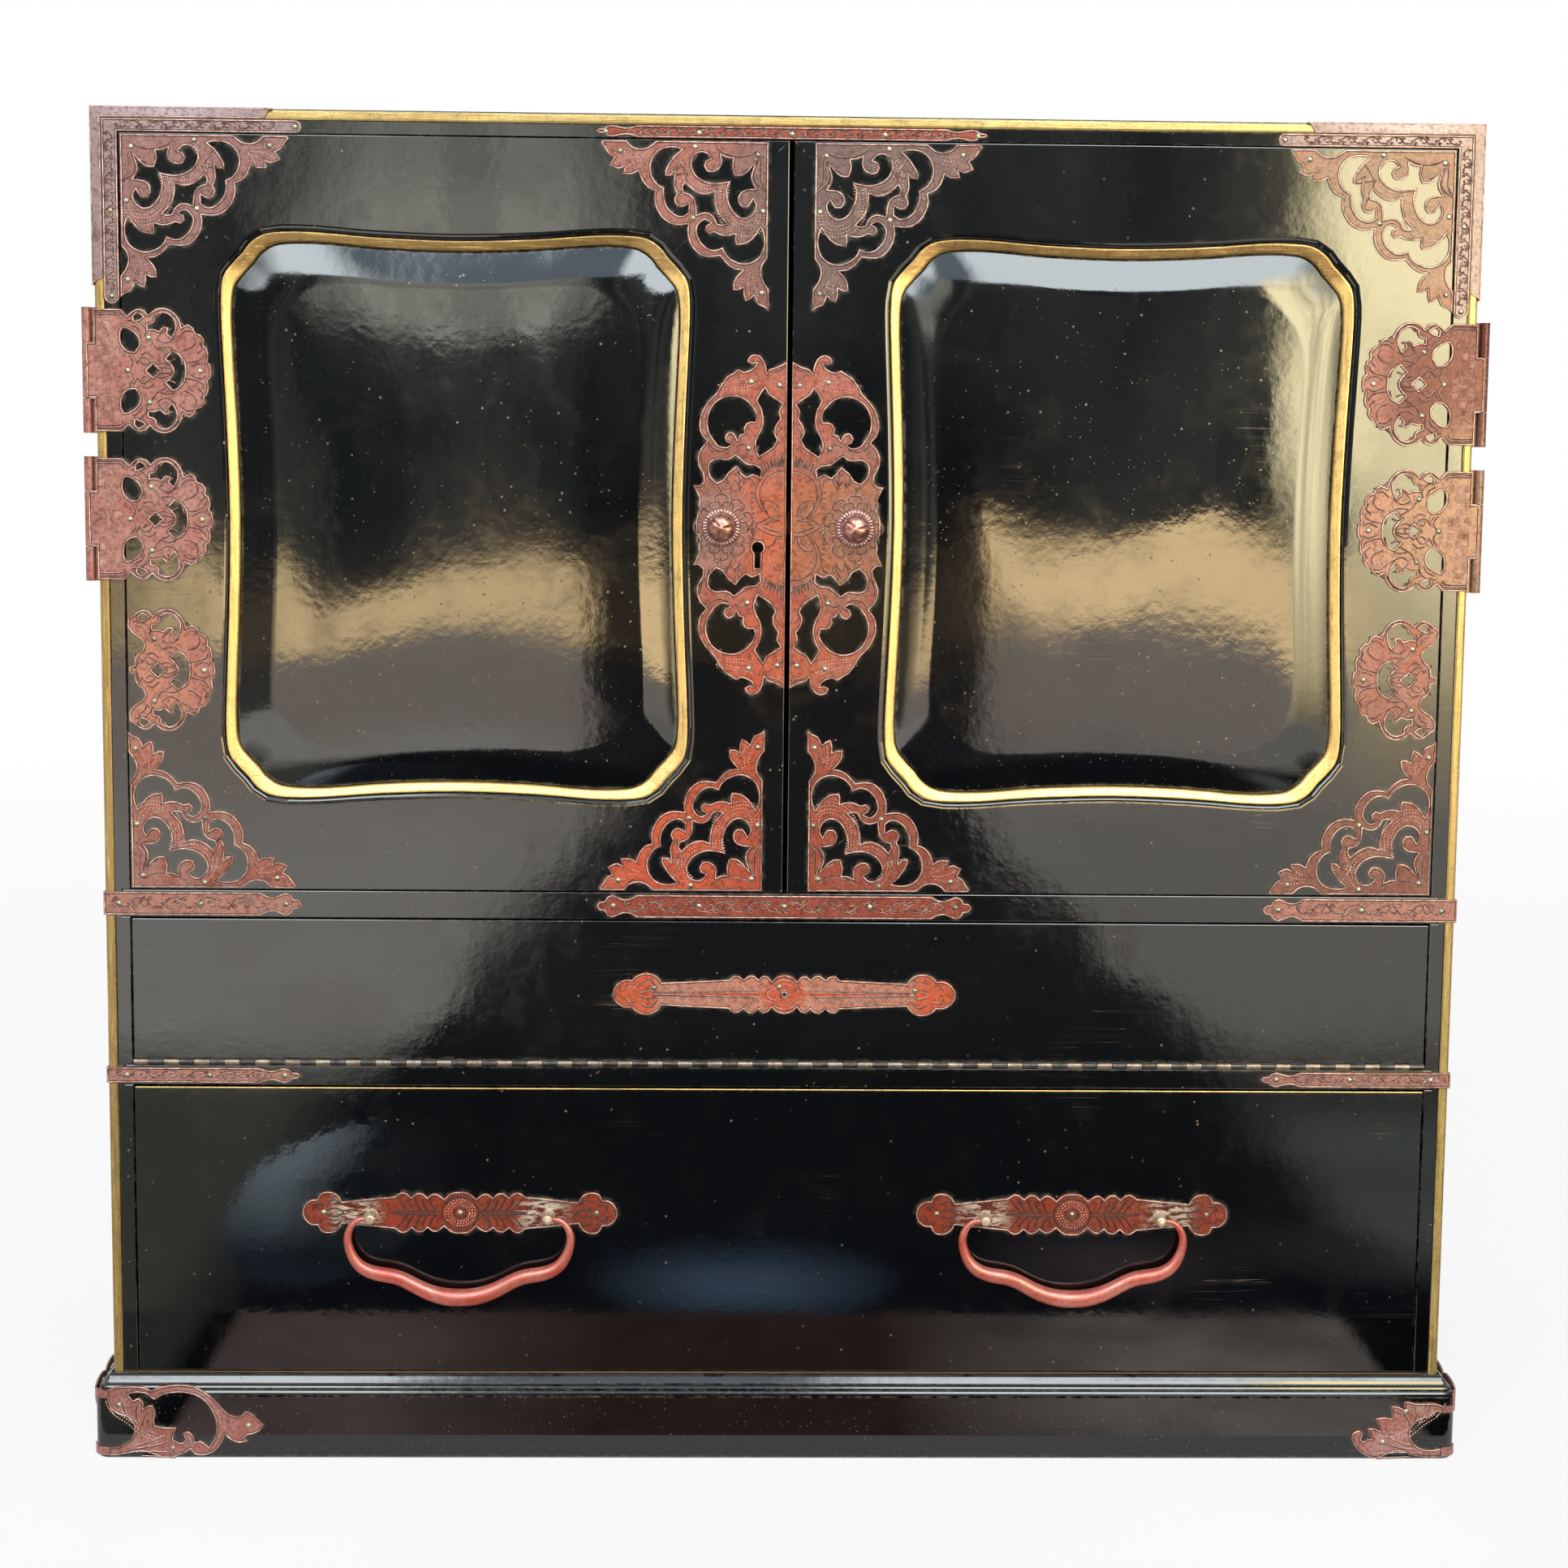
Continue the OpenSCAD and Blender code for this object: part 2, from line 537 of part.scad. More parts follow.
ring_holes = [
    [[28.5, 39.8, 1], [35, 43.4], [44, 44.8], [53, 43.8], [61, 39.4], [66.5, 32],
     [69, 24], [68.2, 15], [64, 8, 1], [61.6, 10.4], [58.4, 12.3], [55, 11.2, 1],
     [53.5, 16], [50.5, 18.7], [46.8, 17.2, 1], [48.6, 12.5], [45, 10.8],
     [40.6, 13.2, 1], [41.5, 17.5], [43, 21.4, 1], [37, 21.2], [29, 22.4, 1],
     [28.4, 26.5], [29.4, 31], [27.4, 36.6, 1], [24, 35.8], [21.4, 34, 1],
     [21.5, 38], [18.5, 41.5, 1], [14.5, 39.4, 1], [11.5, 43.8, 1], [18, 44.8],
     [23.5, 43.8, 1]],
    [[-4, 41, 1], [-2.3, 41, 1], [-1.4, 37.6], [0.5, 33.2], [5, 30.3], [11, 27.8],
     [15, 23], [15, 17], [11, 11], [3, 7.6], [-2.3, 7.8, 1], [-4, 7.8, 1]]
];
ring_nails = [[5.2, 36.2], [40, 6.8], [90, 22.4]];
worn_nails = [[23, 33], [38, 12]];
worn_outer = [
    [-2.3, 36.6, 1], [3, 38.6], [9, 38.8], [16, 38.6], [21, 39.8, 1], [24.5, 39.6, 1],
    [24.6, 34.4, 1], [28.5, 36.6], [33, 36.8, 1], [32.6, 28.4, 1], [37.5, 29.2],
    [43.4, 28.4, 1], [39.6, 19.6, 1], [44, 21.6], [48.4, 21.4, 1], [45.5, 14.4, 1],
    [48.4, 14.2], [50.6, 12.6], [52.6, 13.4], [51.4, 18.4], [54.6, 20.4],
    [58, 18.6], [59, 14.6], [56.4, 9], [51.8, 4.2], [46, 1.4], [40, 1.2],
    [35, 3.6], [30, 5.4, 1], [25, 5.4], [19, 3.4], [11, 1.8], [3, 1.4],
    [-2.3, 2.2, 1]
];
worn_hole = [
    [-4, 32, 1], [-2.3, 32, 1], [0.4, 33.2], [4, 32], [8.4, 28.8], [14, 27.4],
    [18.4, 23.4], [20, 18.6], [18.6, 13], [14.4, 8.8], [7.6, 6.6], [-0.4, 7.6],
    [-2.3, 8.4, 1], [-4, 8.4, 1]
];

// Fancy end of a strap, from its tip inwards, for a strap of half height h
function strap_end(h) = [
    [0, 0], [2, 0.38 * h], [5.5, 0.44 * h, 1], [6.8, 0.76 * h], [10.5, h],
    [13.8, 0.84 * h], [18, 0.62 * h], [22.5, 0.7 * h], [26.5, h, 1]
];

// Case boards
module case_side() {
    difference() {
        box(inner_x, side_x, 0, case_d, plinth_seat, top_z + top_lap);
        box(side_x - gilt_w, side_x + eps, -eps, gilt_t, plinth_seat - eps, top_z + top_lap + eps);
        box(inner_x - eps, inner_x + back_rebate, inner_d, case_d + eps, plinth_seat - eps, top_z + top_lap + eps);
        box(inner_x - eps, inner_x + dado, -eps, inner_d + eps, bottom_top - bottom_t, bottom_top);
        box(inner_x - eps, inner_x + dado, -eps, inner_d + eps, lower_rail_z, lower_rail_top);
        box(inner_x - eps, inner_x + dado, -eps, inner_d + eps, upper_rail_z, upper_rail_top);
        box(inner_x - eps, inner_x + dado, shelf_back, inner_d + eps, upper_rail_top + shelf_up, upper_rail_top + shelf_up + shelf_t);
    }
}

module case_left_side() {
    color("#15120f") place() mirror([1, 0, 0]) case_side();
}

module case_right_side() {
    color("#15120f") place() case_side();
}

module case_top() {
    color("#15120f") place() difference() {
        union() {
            box(-side_x, side_x, 0, case_d, top_z + top_lap, total_h);
            box(-inner_x, inner_x, 0, case_d, top_z, total_h);
        }
        box(-side_x - eps, side_x + eps, -eps, gilt_t, total_h - gilt_w - mount_t, total_h + eps);
        box(-inner_x - back_rebate, inner_x + back_rebate, inner_d, case_d + eps, top_z - eps, top_z + top_lap);
        pair() box(side_x - gilt_w, side_x + eps, -eps, gilt_t, top_z + top_lap - eps, total_h);
    }
}

module case_bottom() {
    color("#1a1613") place()
        box(-inner_x - dado, inner_x + dado, 0, inner_d, bottom_top - bottom_t, bottom_top);
}

module case_back() {
    color("#1d1814") place()
        box(-inner_x - back_rebate, inner_x + back_rebate, inner_d, case_d, plinth_seat, top_z + top_lap);
}

module upper_rail_board() {
    color("#15120f") place()
        box(-inner_x - dado, inner_x + dado, 0, inner_d, upper_rail_z, upper_rail_top);
}

module lower_rail_board() {
    color("#15120f") place()
        box(-inner_x - dado, inner_x + dado, 0, inner_d, lower_rail_z, lower_rail_top);
}

module inner_shelf() {
    color("#1d1814") place()
        box(-inner_x - dado, inner_x + dado, shelf_back, inner_d,
            upper_rail_top + shelf_up, upper_rail_top + shelf_up + shelf_t);
}

// Edging strip of length l standing at the origin, rounded on its two front edges
module gilt_strip(l) {
    linear_extrude(l) polygon([
        [0, gilt_t], [0, 1.6], [0.5, 0.5], [1.6, 0],
        [gilt_w - 1.6, 0], [gilt_w - 0.5, 0.5], [gilt_w, 1.6], [gilt_w, gilt_t]
    ]);
}

module gilt_edging() {
    gilt_top = total_h - mount_t;
    color("#c9a24a") place() {
        pair() translate([side_x - gilt_w, 0, plinth_seat])
            gilt_strip(gilt_top - gilt_w - plinth_seat);
        translate([-side_x, 0, gilt_top]) rotate([0, 90, 0]) gilt_strip(case_w);
    }
}

// Plinth. The front turns both corners and the sides are let in behind it.
module plinth_corner() {
    translate([side_x + plinth_c, -plinth_c, 0]) rotate([0, 0, -90])
        rotate_extrude(angle = 90, $fn = 64) intersection() {
            translate([-plinth_c, 0]) polygon(plinth_profile);
            square([plinth_proud * 2, plinth_h * 2]);
        }
}

module plinth_front() {
    color("#191410") place() {
        translate([-side_x - plinth_c, 0, 0]) rotate([90, 0, 90])
            linear_extrude(case_w + 2 * plinth_c)
            polygon([for (p = plinth_profile) [-p[0], p[1]]]);
        pair() plinth_corner();
    }
}

module plinth_side() {
    difference() {
        translate([side_x, case_d, 0]) rotate([90, 0, 0])
            linear_extrude(case_d + plinth_c) polygon(plinth_profile);
        box(side_x - plinth_ledge - 1, side_x + plinth_c, -plinth_c - 1, plinth_ledge, -1, plinth_h + 1);
    }
}

module plinth_sides_and_back() {
    color("#191410") place() {
        pair() plinth_side();
        box(-side_x + plinth_ledge, side_x - plinth_ledge, case_d - plinth_ledge, case_d, 0, plinth_seat);
    }
}

module plinth_ring() {
    difference() {
        polygon(smooth(scaled(ring_outer, plinth_mount_s, plinth_mount_s)));
        for (h = ring_holes) polygon(smooth(scaled(h, plinth_mount_s, plinth_mount_s)));
    }
}

module plinth_worn() {
    difference() {
        polygon(smooth(scaled(worn_outer, plinth_mount_s, plinth_mount_s)));
        polygon(smooth(scaled(worn_hole, plinth_mount_s, plinth_mount_s)));
    }
}

module corner_band(z0, z1) {
    translate([side_x + plinth_c, -plinth_c, z0]) rotate([0, 0, -90])
        rotate_extrude(angle = 90, $fn = 64) translate([plinth_r, 0]) square([mount_t, z1 - z0]);
}

module plinth_mounts() {
    on_front = -plinth_proud - mount_t;
    on_side = side_x + plinth_proud;
    color("#8c4a38") place() {
        sheet(on_front, mount_t) translate([-side_x, 0]) intersection() {
            plinth_ring();
            translate([-plinth_c, 0]) square([2 * plinth_mount_l, plinth_mount_l]);
        }
        sheet(on_front, mount_t) translate([side_x, 0]) mirror([1, 0]) intersection() {
            plinth_worn();
            translate([-plinth_c, 0]) square([2 * plinth_mount_l, plinth_mount_l]);
        }
        pair() side_sheet(on_side, mount_t) intersection() {
            plinth_ring();
            translate([-plinth_c, 0]) square([2 * plinth_mount_l, plinth_mount_l]);
        }
        mirror([1, 0, 0]) {
            corner_band(41 * plinth_mount_s, 46 * plinth_mount_s);
            corner_band(2.2 * plinth_mount_s, 7.7 * plinth_mount_s);
        }
        corner_band(32.2 * plinth_mount_s, 36.6 * plinth_mount_s);
        corner_band(2.2 * plinth_mount_s, 8.2 * plinth_mount_s);
        translate([side_x + plinth_c, -plinth_c, 32.2 * plinth_mount_s]) rotate([0, 0, -45])
            rotate_extrude(angle = 45, $fn = 64) translate([plinth_r, 0])
            square([mount_t, 13.8 * plinth_mount_s]);
    }
}

// Straps of the case
module top_corner_strap() {
    wide = board_t - gilt_w;
    high = gilt_low - top_z;
    end_x = side_x - gilt_w - corner_strap_l + high / 2;
    end_z = corner_strap_low + wide / 2;
    sheet(-mount_t, mount_t) {
        translate([end_x, top_z]) square([side_x - gilt_w - end_x, high]);
        translate([end_x, top_z + high / 2]) circle(d = high);
        translate([inner_x, end_z]) square([wide, gilt_low - end_z]);
        translate([inner_x + wide / 2, end_z]) circle(d = wide);
    }
}

module top_corner_straps() {
    color("#7d4436") place() pair() top_corner_strap();
}

module top_edge_cap() {
    cap_x = corner_strap_l - 12;
    cap_z = gilt_low - corner_strap_low - 4;
    in_w = gilt_w - 0.6;
    sheet(-mount_t, mount_t) polygon([
        [side_x + mount_t, total_h], [side_x + mount_t, total_h - cap_z],
        [side_x, total_h - cap_z + 1.5], [side_x - in_w, total_h - cap_z + 5],
        [side_x - in_w, total_h - mount_t - in_w],
        [side_x - cap_x + 5, total_h - mount_t - in_w],
        [side_x - cap_x + 1.5, total_h - mount_t], [side_x - cap_x, total_h]
    ]);
    box(side_x, side_x + mount_t, -mount_t, 10, total_h - cap_z, total_h);
    box(side_x - cap_x, side_x + mount_t, -mount_t, gilt_t, total_h - mount_t, total_h);
}

module top_edge_caps() {
    color("#86604f") place() pair() top_edge_cap();
}

module centre_strap(half, h, z) {
    end = strap_end(h / 2);
    n = len(end);
    right = concat([for (p = end) [half - p[0], p[1], p[2]]],
                   [for (i = [n - 1:-1:0]) [-half + end[i][0], end[i][1], end[i][2]]]);
    sheet(-mount_t, mount_t) translate([0, z]) polygon(smooth(fold_z(right, 2)));
}

module side_strap(reach, h, z) {
    end = strap_end(h / 2);
    half = concat([for (p = end) [reach + p[0], p[1], p[2]]], [[side_x + mount_t, h / 2, 1]]);
    sheet(-mount_t, mount_t) translate([0, z]) polygon(smooth(fold_z(half, 1)));
    box(side_x, side_x + mount_t, -mount_t, wrap_d, z - h / 2, z + h / 2);
}

module rail_straps() {
    color("#8a4d3c") place() {
        centre_strap(rail_strap_half, upper_strap_h, upper_strap_z);
        centre_strap(top_strap_half, top_strap_h, top_strap_z);
        pair() side_strap(side_x - end_strap_l, upper_strap_h, upper_strap_z);
        pair() side_strap(side_x - end_strap_l + 2, lower_strap_h, lower_strap_z);
    }
}

// Door hinges. The case half is drawn for the right-hand side and mirrored.
module hinge_barrel(z0, z1) {
    translate([hinge_axis_x, hinge_axis_y, z0]) cylinder(h = z1 - z0, r = knuckle_r, $fn = 32);
}

module hinge_bore(z) {
    translate([hinge_axis_x, hinge_axis_y, z - hinge_h])
        cylinder(h = 2 * hinge_h, r = pin_r + pin_clear, $fn = 24);
}

module hinge_case_half(z) {
    back = hinge_axis_y + knuckle_r;
    end = hinge_h / 2;
    mid = mid_knuckle_h / 2 + knuckle_gap;
    difference() {
        union() {
            hinge_barrel(z - end, z - mid);
            hinge_barrel(z + mid, z + end);
            for (s = [[-end, -mid], [mid, end]])
                box(side_x, hinge_axis_x, back - leaf_t, back, z + s[0], z + s[1]);
            box(side_x, side_x + leaf_t, back - leaf_t, case_leaf_d, z - end, z + end);
        }
        hinge_bore(z);
    }
}

module door_hinge_case_leaves() {
    color("#7b4538") place() pair() for (z = hinge_z) hinge_case_half(z);
}

module door_hinge_pins() {
    color("#8f8175") place() pair() for (z = hinge_z)
        translate([hinge_axis_x, hinge_axis_y, z - hinge_h / 2])
        cylinder(h = hinge_h, r = pin_r, $fn = 24);
}

module hinge_door_half(z) {
    mid = mid_knuckle_h / 2;
    sheet(leaf_y, leaf_t) translate([side_x + 1, z]) mirror([1, 0]) difference() {
        polygon(smooth(scaled(hinge_outer, hinge_s, hinge_s)));
        for (s = [-hinge_s, hinge_s]) {
            for (h = flower_holes) polygon(smooth(scaled(h, hinge_s, s)));
            polygon(smooth(scaled(hinge_tear, hinge_s, s)));
        }
        polygon(smooth(scaled(flower_crescent, hinge_s, hinge_s)));
        polygon(smooth(scaled(flower_eye, hinge_s, hinge_s)));
    }
    difference() {
        union() {
            hinge_barrel(z - mid, z + mid);
            box(side_x - 1, hinge_axis_x, leaf_y, leaf_y + leaf_t, z - mid, z + mid);
        }
        hinge_bore(z);
    }
}

// Flap hinge
module flap_comb(odd) {
    pitch = 2 * flap_half / flap_knuckles;
    clear = flap_knuckle_r + 0.35;
    z0 = odd ? flap_z - flap_leaf_t : lower_rail_top;
    difference() {
        union() {
            box(-flap_half, flap_half, flap_axis_y + clear, flap_axis_y + flap_leaf_w,
                z0, z0 + flap_leaf_t);
            for (i = [(odd ? 1 : 0):2:flap_knuckles - 1]) {
                x = -flap_half + i * pitch;
                translate([x + knuckle_gap / 2, flap_axis_y, flap_axis_z]) rotate([0, 90, 0])
                    cylinder(h = pitch - knuckle_gap, r = flap_knuckle_r, $fn = 20);
                box(x + knuckle_gap / 2, x + pitch - knuckle_gap / 2, flap_axis_y,
                    flap_axis_y + clear, z0, z0 + flap_leaf_t);
            }
        }
        translate([-flap_half - 1, flap_axis_y, flap_axis_z]) rotate([0, 90, 0])
            cylinder(h = 2 * flap_half + 2, r = flap_pin_r + pin_clear, $fn = 16);
    }
}

module flap_hinge_case_leaf() {
    color("#6d5a3c") place() flap_comb(false);
}

module flap_hinge_flap_leaf() {
    color("#6d5a3c") place() flap_comb(true);
}

module flap_hinge_pin() {
    color("#8f8175") place() translate([-flap_half, flap_axis_y, flap_axis_z]) rotate([0, 90, 0])
        cylinder(h = 2 * flap_half, r = flap_pin_r, $fn = 16);
}

// Stays: a slotted bar turns on the flap's bracket and slides over a screw in the case side
module stay_screw() {
    head = stay_x - slide_clear;
    translate([0, stay_b_y, stay_b_z]) rotate([0, 90, 0]) {
        translate([0, 0, head - 2]) cylinder(h = 2, r = 4, $fn = 24);
        translate([0, 0, head]) cylinder(h = inner_x + 8 - head, r = stay_pin_r, $fn = 24);
        translate([0, 0, stay_x + stay_t + slide_clear])
            cylinder(h = inner_x - stay_x - stay_t - slide_clear, r = 4.5, $fn = 24);
    }
}

module stay_screws() {
    color("#8f8175") place() pair() stay_screw();
}

module stay_bar() {
    slot = stay_pin_r + slide_clear;
    translate([stay_x, stay_a_y, stay_a_z]) rotate([stay_dir, 0, 0]) rotate([90, 0, 90])
        linear_extrude(stay_t) difference() {
            union() {
                circle(d = stay_w);
                translate([0, -stay_w / 2]) square([stay_open + slot + 1, stay_w]);
                translate([stay_open + slot + 1, 0]) circle(d = stay_w);
            }
            circle(r = stay_pin_r + pin_clear);
            translate([stay_closed, 0]) circle(r = slot);
            translate([stay_open, 0]) circle(r = slot);
            translate([stay_closed, -slot]) square([stay_open - stay_closed, 2 * slot]);
        }
}

module left_flap_stay() {
    color("#6d5a3c") place() mirror([1, 0, 0]) stay_bar();
}

module right_flap_stay() {
    color("#6d5a3c") place() stay_bar();
}

module stay_bracket() {
    ear_x = stay_x - slide_clear;
    back = face_y + flap_t;
    box(ear_x - 16, ear_x, back, back + 1.5, stay_a_z - 10, stay_a_z + 5);
    box(ear_x - 2, ear_x, back, stay_a_y, stay_a_z - 5, stay_a_z + 5);
    translate([ear_x - 2, stay_a_y, stay_a_z]) rotate([0, 90, 0]) {
        cylinder(h = 2, r = 5, $fn = 24);
        cylinder(h = 2 + stay_t + 2 * slide_clear + 1.2, r = stay_pin_r, $fn = 24);
        translate([0, 0, 2 + stay_t + 2 * slide_clear]) cylinder(h = 1.2, r = 3.4, $fn = 24);
    }
    for (dx = [5, 11]) translate([ear_x - dx - 1, back + 2, stay_a_z - 3]) rotate([90, 0, 0])
        cylinder(h = 9, r = 1.2, $fn = 12);
}

module stay_brackets() {
    color("#6d5a3c") place() pair() stay_bracket();
}

// Doors, drawn for the right-hand door and mirrored for the left-hand one
module door_frame_part(points) {
    opening_w = panel_hw + moulding_gap;
    opening_h = panel_hh + moulding_gap;
    groove_clear = 0.2;
    translate([door_mid_x, 0, door_mid_z]) difference() {
        sheet(face_y, door_t) difference() {
            polygon(points);
            polygon(lobe(opening_w, opening_h));
        }
        sheet(face_y + panel_in, panel_t)
            polygon(lobe(panel_hw + panel_groove + groove_clear, panel_hh + panel_groove + groove_clear));
    }
}

module door_stiles_half() {
    cx = panel_hw + moulding_gap - cusp_x;
    cz = panel_hh + moulding_gap - cusp_z;
    for (s = [-1, 1]) door_frame_part([
        [s * door_w / 2, -door_h / 2], [s * door_w / 2, door_h / 2], [s * cx, cz], [s * cx, -cz]
    ]);
}

module door_rails_half() {
    cx = panel_hw + moulding_gap - cusp_x;
    cz = panel_hh + moulding_gap - cusp_z;
    for (s = [-1, 1]) door_frame_part([
        [-door_w / 2, s * door_h / 2], [door_w / 2, s * door_h / 2], [cx, s * cz], [-cx, s * cz]
    ]);
}

module door_panel_half() {
    field_w = panel_hw - moulding_w - 0.6;
    field_h = panel_hh - moulding_w - 0.6;
    step = 5;
    rise = panel_in - step - field_in;
    translate([door_mid_x, 0, door_mid_z]) {
        sheet(face_y + panel_in, panel_t) polygon(lobe(panel_hw + panel_groove, panel_hh + panel_groove));
        sheet(face_y + panel_in - step, step) polygon(lobe(field_w, field_h));
        translate([0, face_y + panel_in - step, 0]) rotate([90, 0, 0])
            linear_extrude(rise, slices = 1, scale = [1 - field_slope / field_w, 1 - field_slope / field_h])
            polygon(lobe(field_w, field_h));
    }
}

module gilt_moulding_half() {
    translate([door_mid_x, 0, door_mid_z]) sheet(face_y + moulding_in, panel_in - moulding_in)
        difference() {
            polygon(lobe(panel_hw, panel_hh));
            polygon(lobe(panel_hw - moulding_w, panel_hh - moulding_w));
        }
}

module corner_mount(x, z, sx, sz) {
    sheet(mount_y, mount_t) translate([x, z]) difference() {
        polygon(smooth(scaled(corner_outer, sx, sz)));
        for (h = corner_holes) polygon(smooth(scaled(h, sx, sz)));
    }
}

// Place and way round of the four corner mounts of a door: x, z, x scale, z scale
corner_in_x = door_meet_x + 12.3;
corner_low = door_z + 1;
corner_high = door_z + door_h - 1;
corner_places = [
    [corner_in_x, corner_low, corner_sx, corner_sz],
    [corner_in_x, corner_high, corner_sx, -corner_sz],
    [door_edge_x, corner_low, -corner_sx, 0.96 * corner_sz],
    [door_edge_x, corner_high, -corner_sx, -0.96 * corner_sz]
];

module door_mounts_half() {
    for (c = corner_places) corner_mount(c[0], c[1], c[2], c[3]);
    sheet(mount_y, mount_t) translate([side_x + 1, flower_z]) mirror([1, 0]) difference() {
        polygon(smooth(scaled(flower_outer, hinge_s, hinge_s)));
        for (s = [-hinge_s, hinge_s]) for (h = flower_holes) polygon(smooth(scaled(h, hinge_s, s)));
        polygon(smooth(scaled(flower_crescent, hinge_s, hinge_s)));
        polygon(smooth(scaled(flower_eye, hinge_s, hinge_s)));
    }
}

module lock_plate_half(keyhole) {
    sheet(mount_y, mount_t) difference() {
        translate([0, lock_z]) difference() {
            polygon(smooth([for (p = lock_outer)
                [max(p[0] * lock_s, meet_gap / 2 + 0.1), p[1] * lock_s, p[2]]]));
            for (s = [-lock_s, lock_s]) for (h = lock_holes) polygon(smooth(scaled(h, lock_s, s)));
        }
        if (keyhole) {
            translate([keyhole_x, keyhole_z]) circle(r = 3.7, $fn = 24);
            translate([keyhole_x - 1.8, keyhole_z - 13]) square([3.6, 13]);
        }
    }
}

module knob_half() {
    reach = knob_reach;
    translate([knob_x, face_y, knob_z]) rotate([90, 0, 0]) rotate_extrude($fn = 48) polygon([
        [0, -16], [2.5, -16], [2.5, mount_t], [12.6, mount_t], [12.6, mount_t + 0.9],
        [11.2, mount_t + 2.2], [8.4, mount_t + 2.8], [6.4, mount_t + 3.6], [6.2, reach - 8.4],
        [7.4, reach - 7], [7.6, reach - 5.6], [6.8, reach - 3.4], [5, reach - 1.6],
        [2.6, reach - 0.4], [0, reach]
    ]);
}

module door_nails_half() {
    for (c = corner_places) for (n = corner_nails) nail(c[0] + n[0] * c[2], c[1] + n[1] * c[3], mount_y);
    for (z = hinge_z) for (n = hinge_nails)
        nail(side_x + 1 - n[0] * hinge_s, z + n[1] * hinge_s, leaf_y);
    for (n = flower_nails)
        nail(side_x + 1 - n[0] * hinge_s, flower_z + n[1] * hinge_s, mount_y);
    for (n = lock_nails) nail(n[0] * lock_s, lock_z + n[1] * lock_s, mount_y);
}

module left_door_stiles() {
    color("#15120f") place() mirror([1, 0, 0]) difference() {
        door_stiles_half();
        translate([keyhole_x, face_y - eps, keyhole_z]) rotate([-90, 0, 0])
            cylinder(h = door_t + 1, r = 3.7, $fn = 24);
        box(keyhole_x - 1.8, keyhole_x + 1.8, face_y - eps, face_y + door_t + 1, keyhole_z - 13, keyhole_z);
    }
}

module left_door_rails() {
    color("#15120f") place() mirror([1, 0, 0]) door_rails_half();
}

module left_door_panel() {
    color("#181512") place() mirror([1, 0, 0]) door_panel_half();
}

module left_gilt_moulding() {
    color("#d0a648") place() mirror([1, 0, 0]) gilt_moulding_half();
}

module left_hinge_leaves() {
    color("#8d5143") place() mirror([1, 0, 0]) for (z = hinge_z) hinge_door_half(z);
}

module left_door_mounts() {
    color("#94503e") place() mirror([1, 0, 0]) door_mounts_half();
}

module left_lock_plate() {
    color("#a2543e") place() mirror([1, 0, 0]) lock_plate_half(true);
}

module left_knob() {
    color("#9c7264") place() mirror([1, 0, 0]) knob_half();
}

module left_door_nails() {
    color("#b8a98c") place() mirror([1, 0, 0]) door_nails_half();
}

module lock_case() {
    x0 = door_meet_x + lock_back;
    z0 = lock_z - lock_h / 2 - 6;
    color("#6d5a3c") place() mirror([1, 0, 0]) difference() {
        box(x0, x0 + lock_w, lock_y, lock_y + lock_t, z0, z0 + lock_h);
        box(x0 + lock_wall, x0 + lock_w - lock_wall, lock_y + lock_wall, lock_y + lock_t - lock_wall,
            z0 + lock_wall, z0 + lock_h - lock_wall);
        box(x0 - 1, x0 + lock_wall + 1, bolt_y - slide_clear, bolt_y + bolt_t + slide_clear,
            bolt_z - bolt_h / 2 - slide_clear, bolt_z + bolt_h / 2 + slide_clear);
        box(keyhole_x - 3.5, keyhole_x + 3.5, lock_y - 1, lock_y + lock_wall + 1,
            keyhole_z - 13, keyhole_z + 3.5);
    }
}

module lock_bolt() {
    color("#8f8a72") place() mirror([1, 0, 0]) {
        box(bolt_tip_x, bolt_tip_x + bolt_l, bolt_y, bolt_y + bolt_t,
            bolt_z - bolt_h / 2, bolt_z + bolt_h / 2);
        box(bolt_tip_x + bolt_l - 12, bolt_tip_x + bolt_l, bolt_y, bolt_y + bolt_t,
            bolt_z - bolt_h / 2 - 10, bolt_z);
    }
}

module lock_keep() {
    x0 = door_meet_x + lock_back;
    color("#6d5a3c") place() difference() {
        box(x0, x0 + keep_w, lock_y, lock_y + lock_t, bolt_z - keep_h / 2, bolt_z + keep_h / 2);
        box(x0 - 1, x0 + bolt_throw + 2, bolt_y - 0.6, bolt_y + bolt_t + 0.6,
            bolt_z - bolt_h / 2 - 0.6, bolt_z + bolt_h / 2 + 0.6);
    }
}

module right_door_stiles() {
    color("#15120f") place() door_stiles_half();
}

module right_door_rails() {
    color("#15120f") place() door_rails_half();
}

module right_door_panel() {
    color("#181512") place() door_panel_half();
}

module right_gilt_moulding() {
    color("#d0a648") place() gilt_moulding_half();
}

module right_hinge_leaves() {
    color("#8d5143") place() for (z = hinge_z) hinge_door_half(z);
}

module right_door_mounts() {
    color("#94503e") place() door_mounts_half();
}

module right_lock_plate() {
    color("#a2543e") place() lock_plate_half(false);
}

module right_knob() {
    color("#9c7264") place() knob_half();
}

module right_door_nails() {
    color("#b8a98c") place() door_nails_half();
}

// Flap
module flap_board() {
    back = face_y + flap_t;
    color("#15120f") place() difference() {
        box(-flap_half, flap_half, face_y, back, flap_z, flap_z + flap_h);
        translate([-flap_half - 1, 0, 0]) rotate([90, 0, 90]) linear_extrude(2 * flap_half + 2)
            polygon([[back - 9, flap_z + flap_h + eps], [back + 1, flap_z + flap_h - 2.5],
                     [back + 1, flap_z + flap_h + eps]]);
    }
}

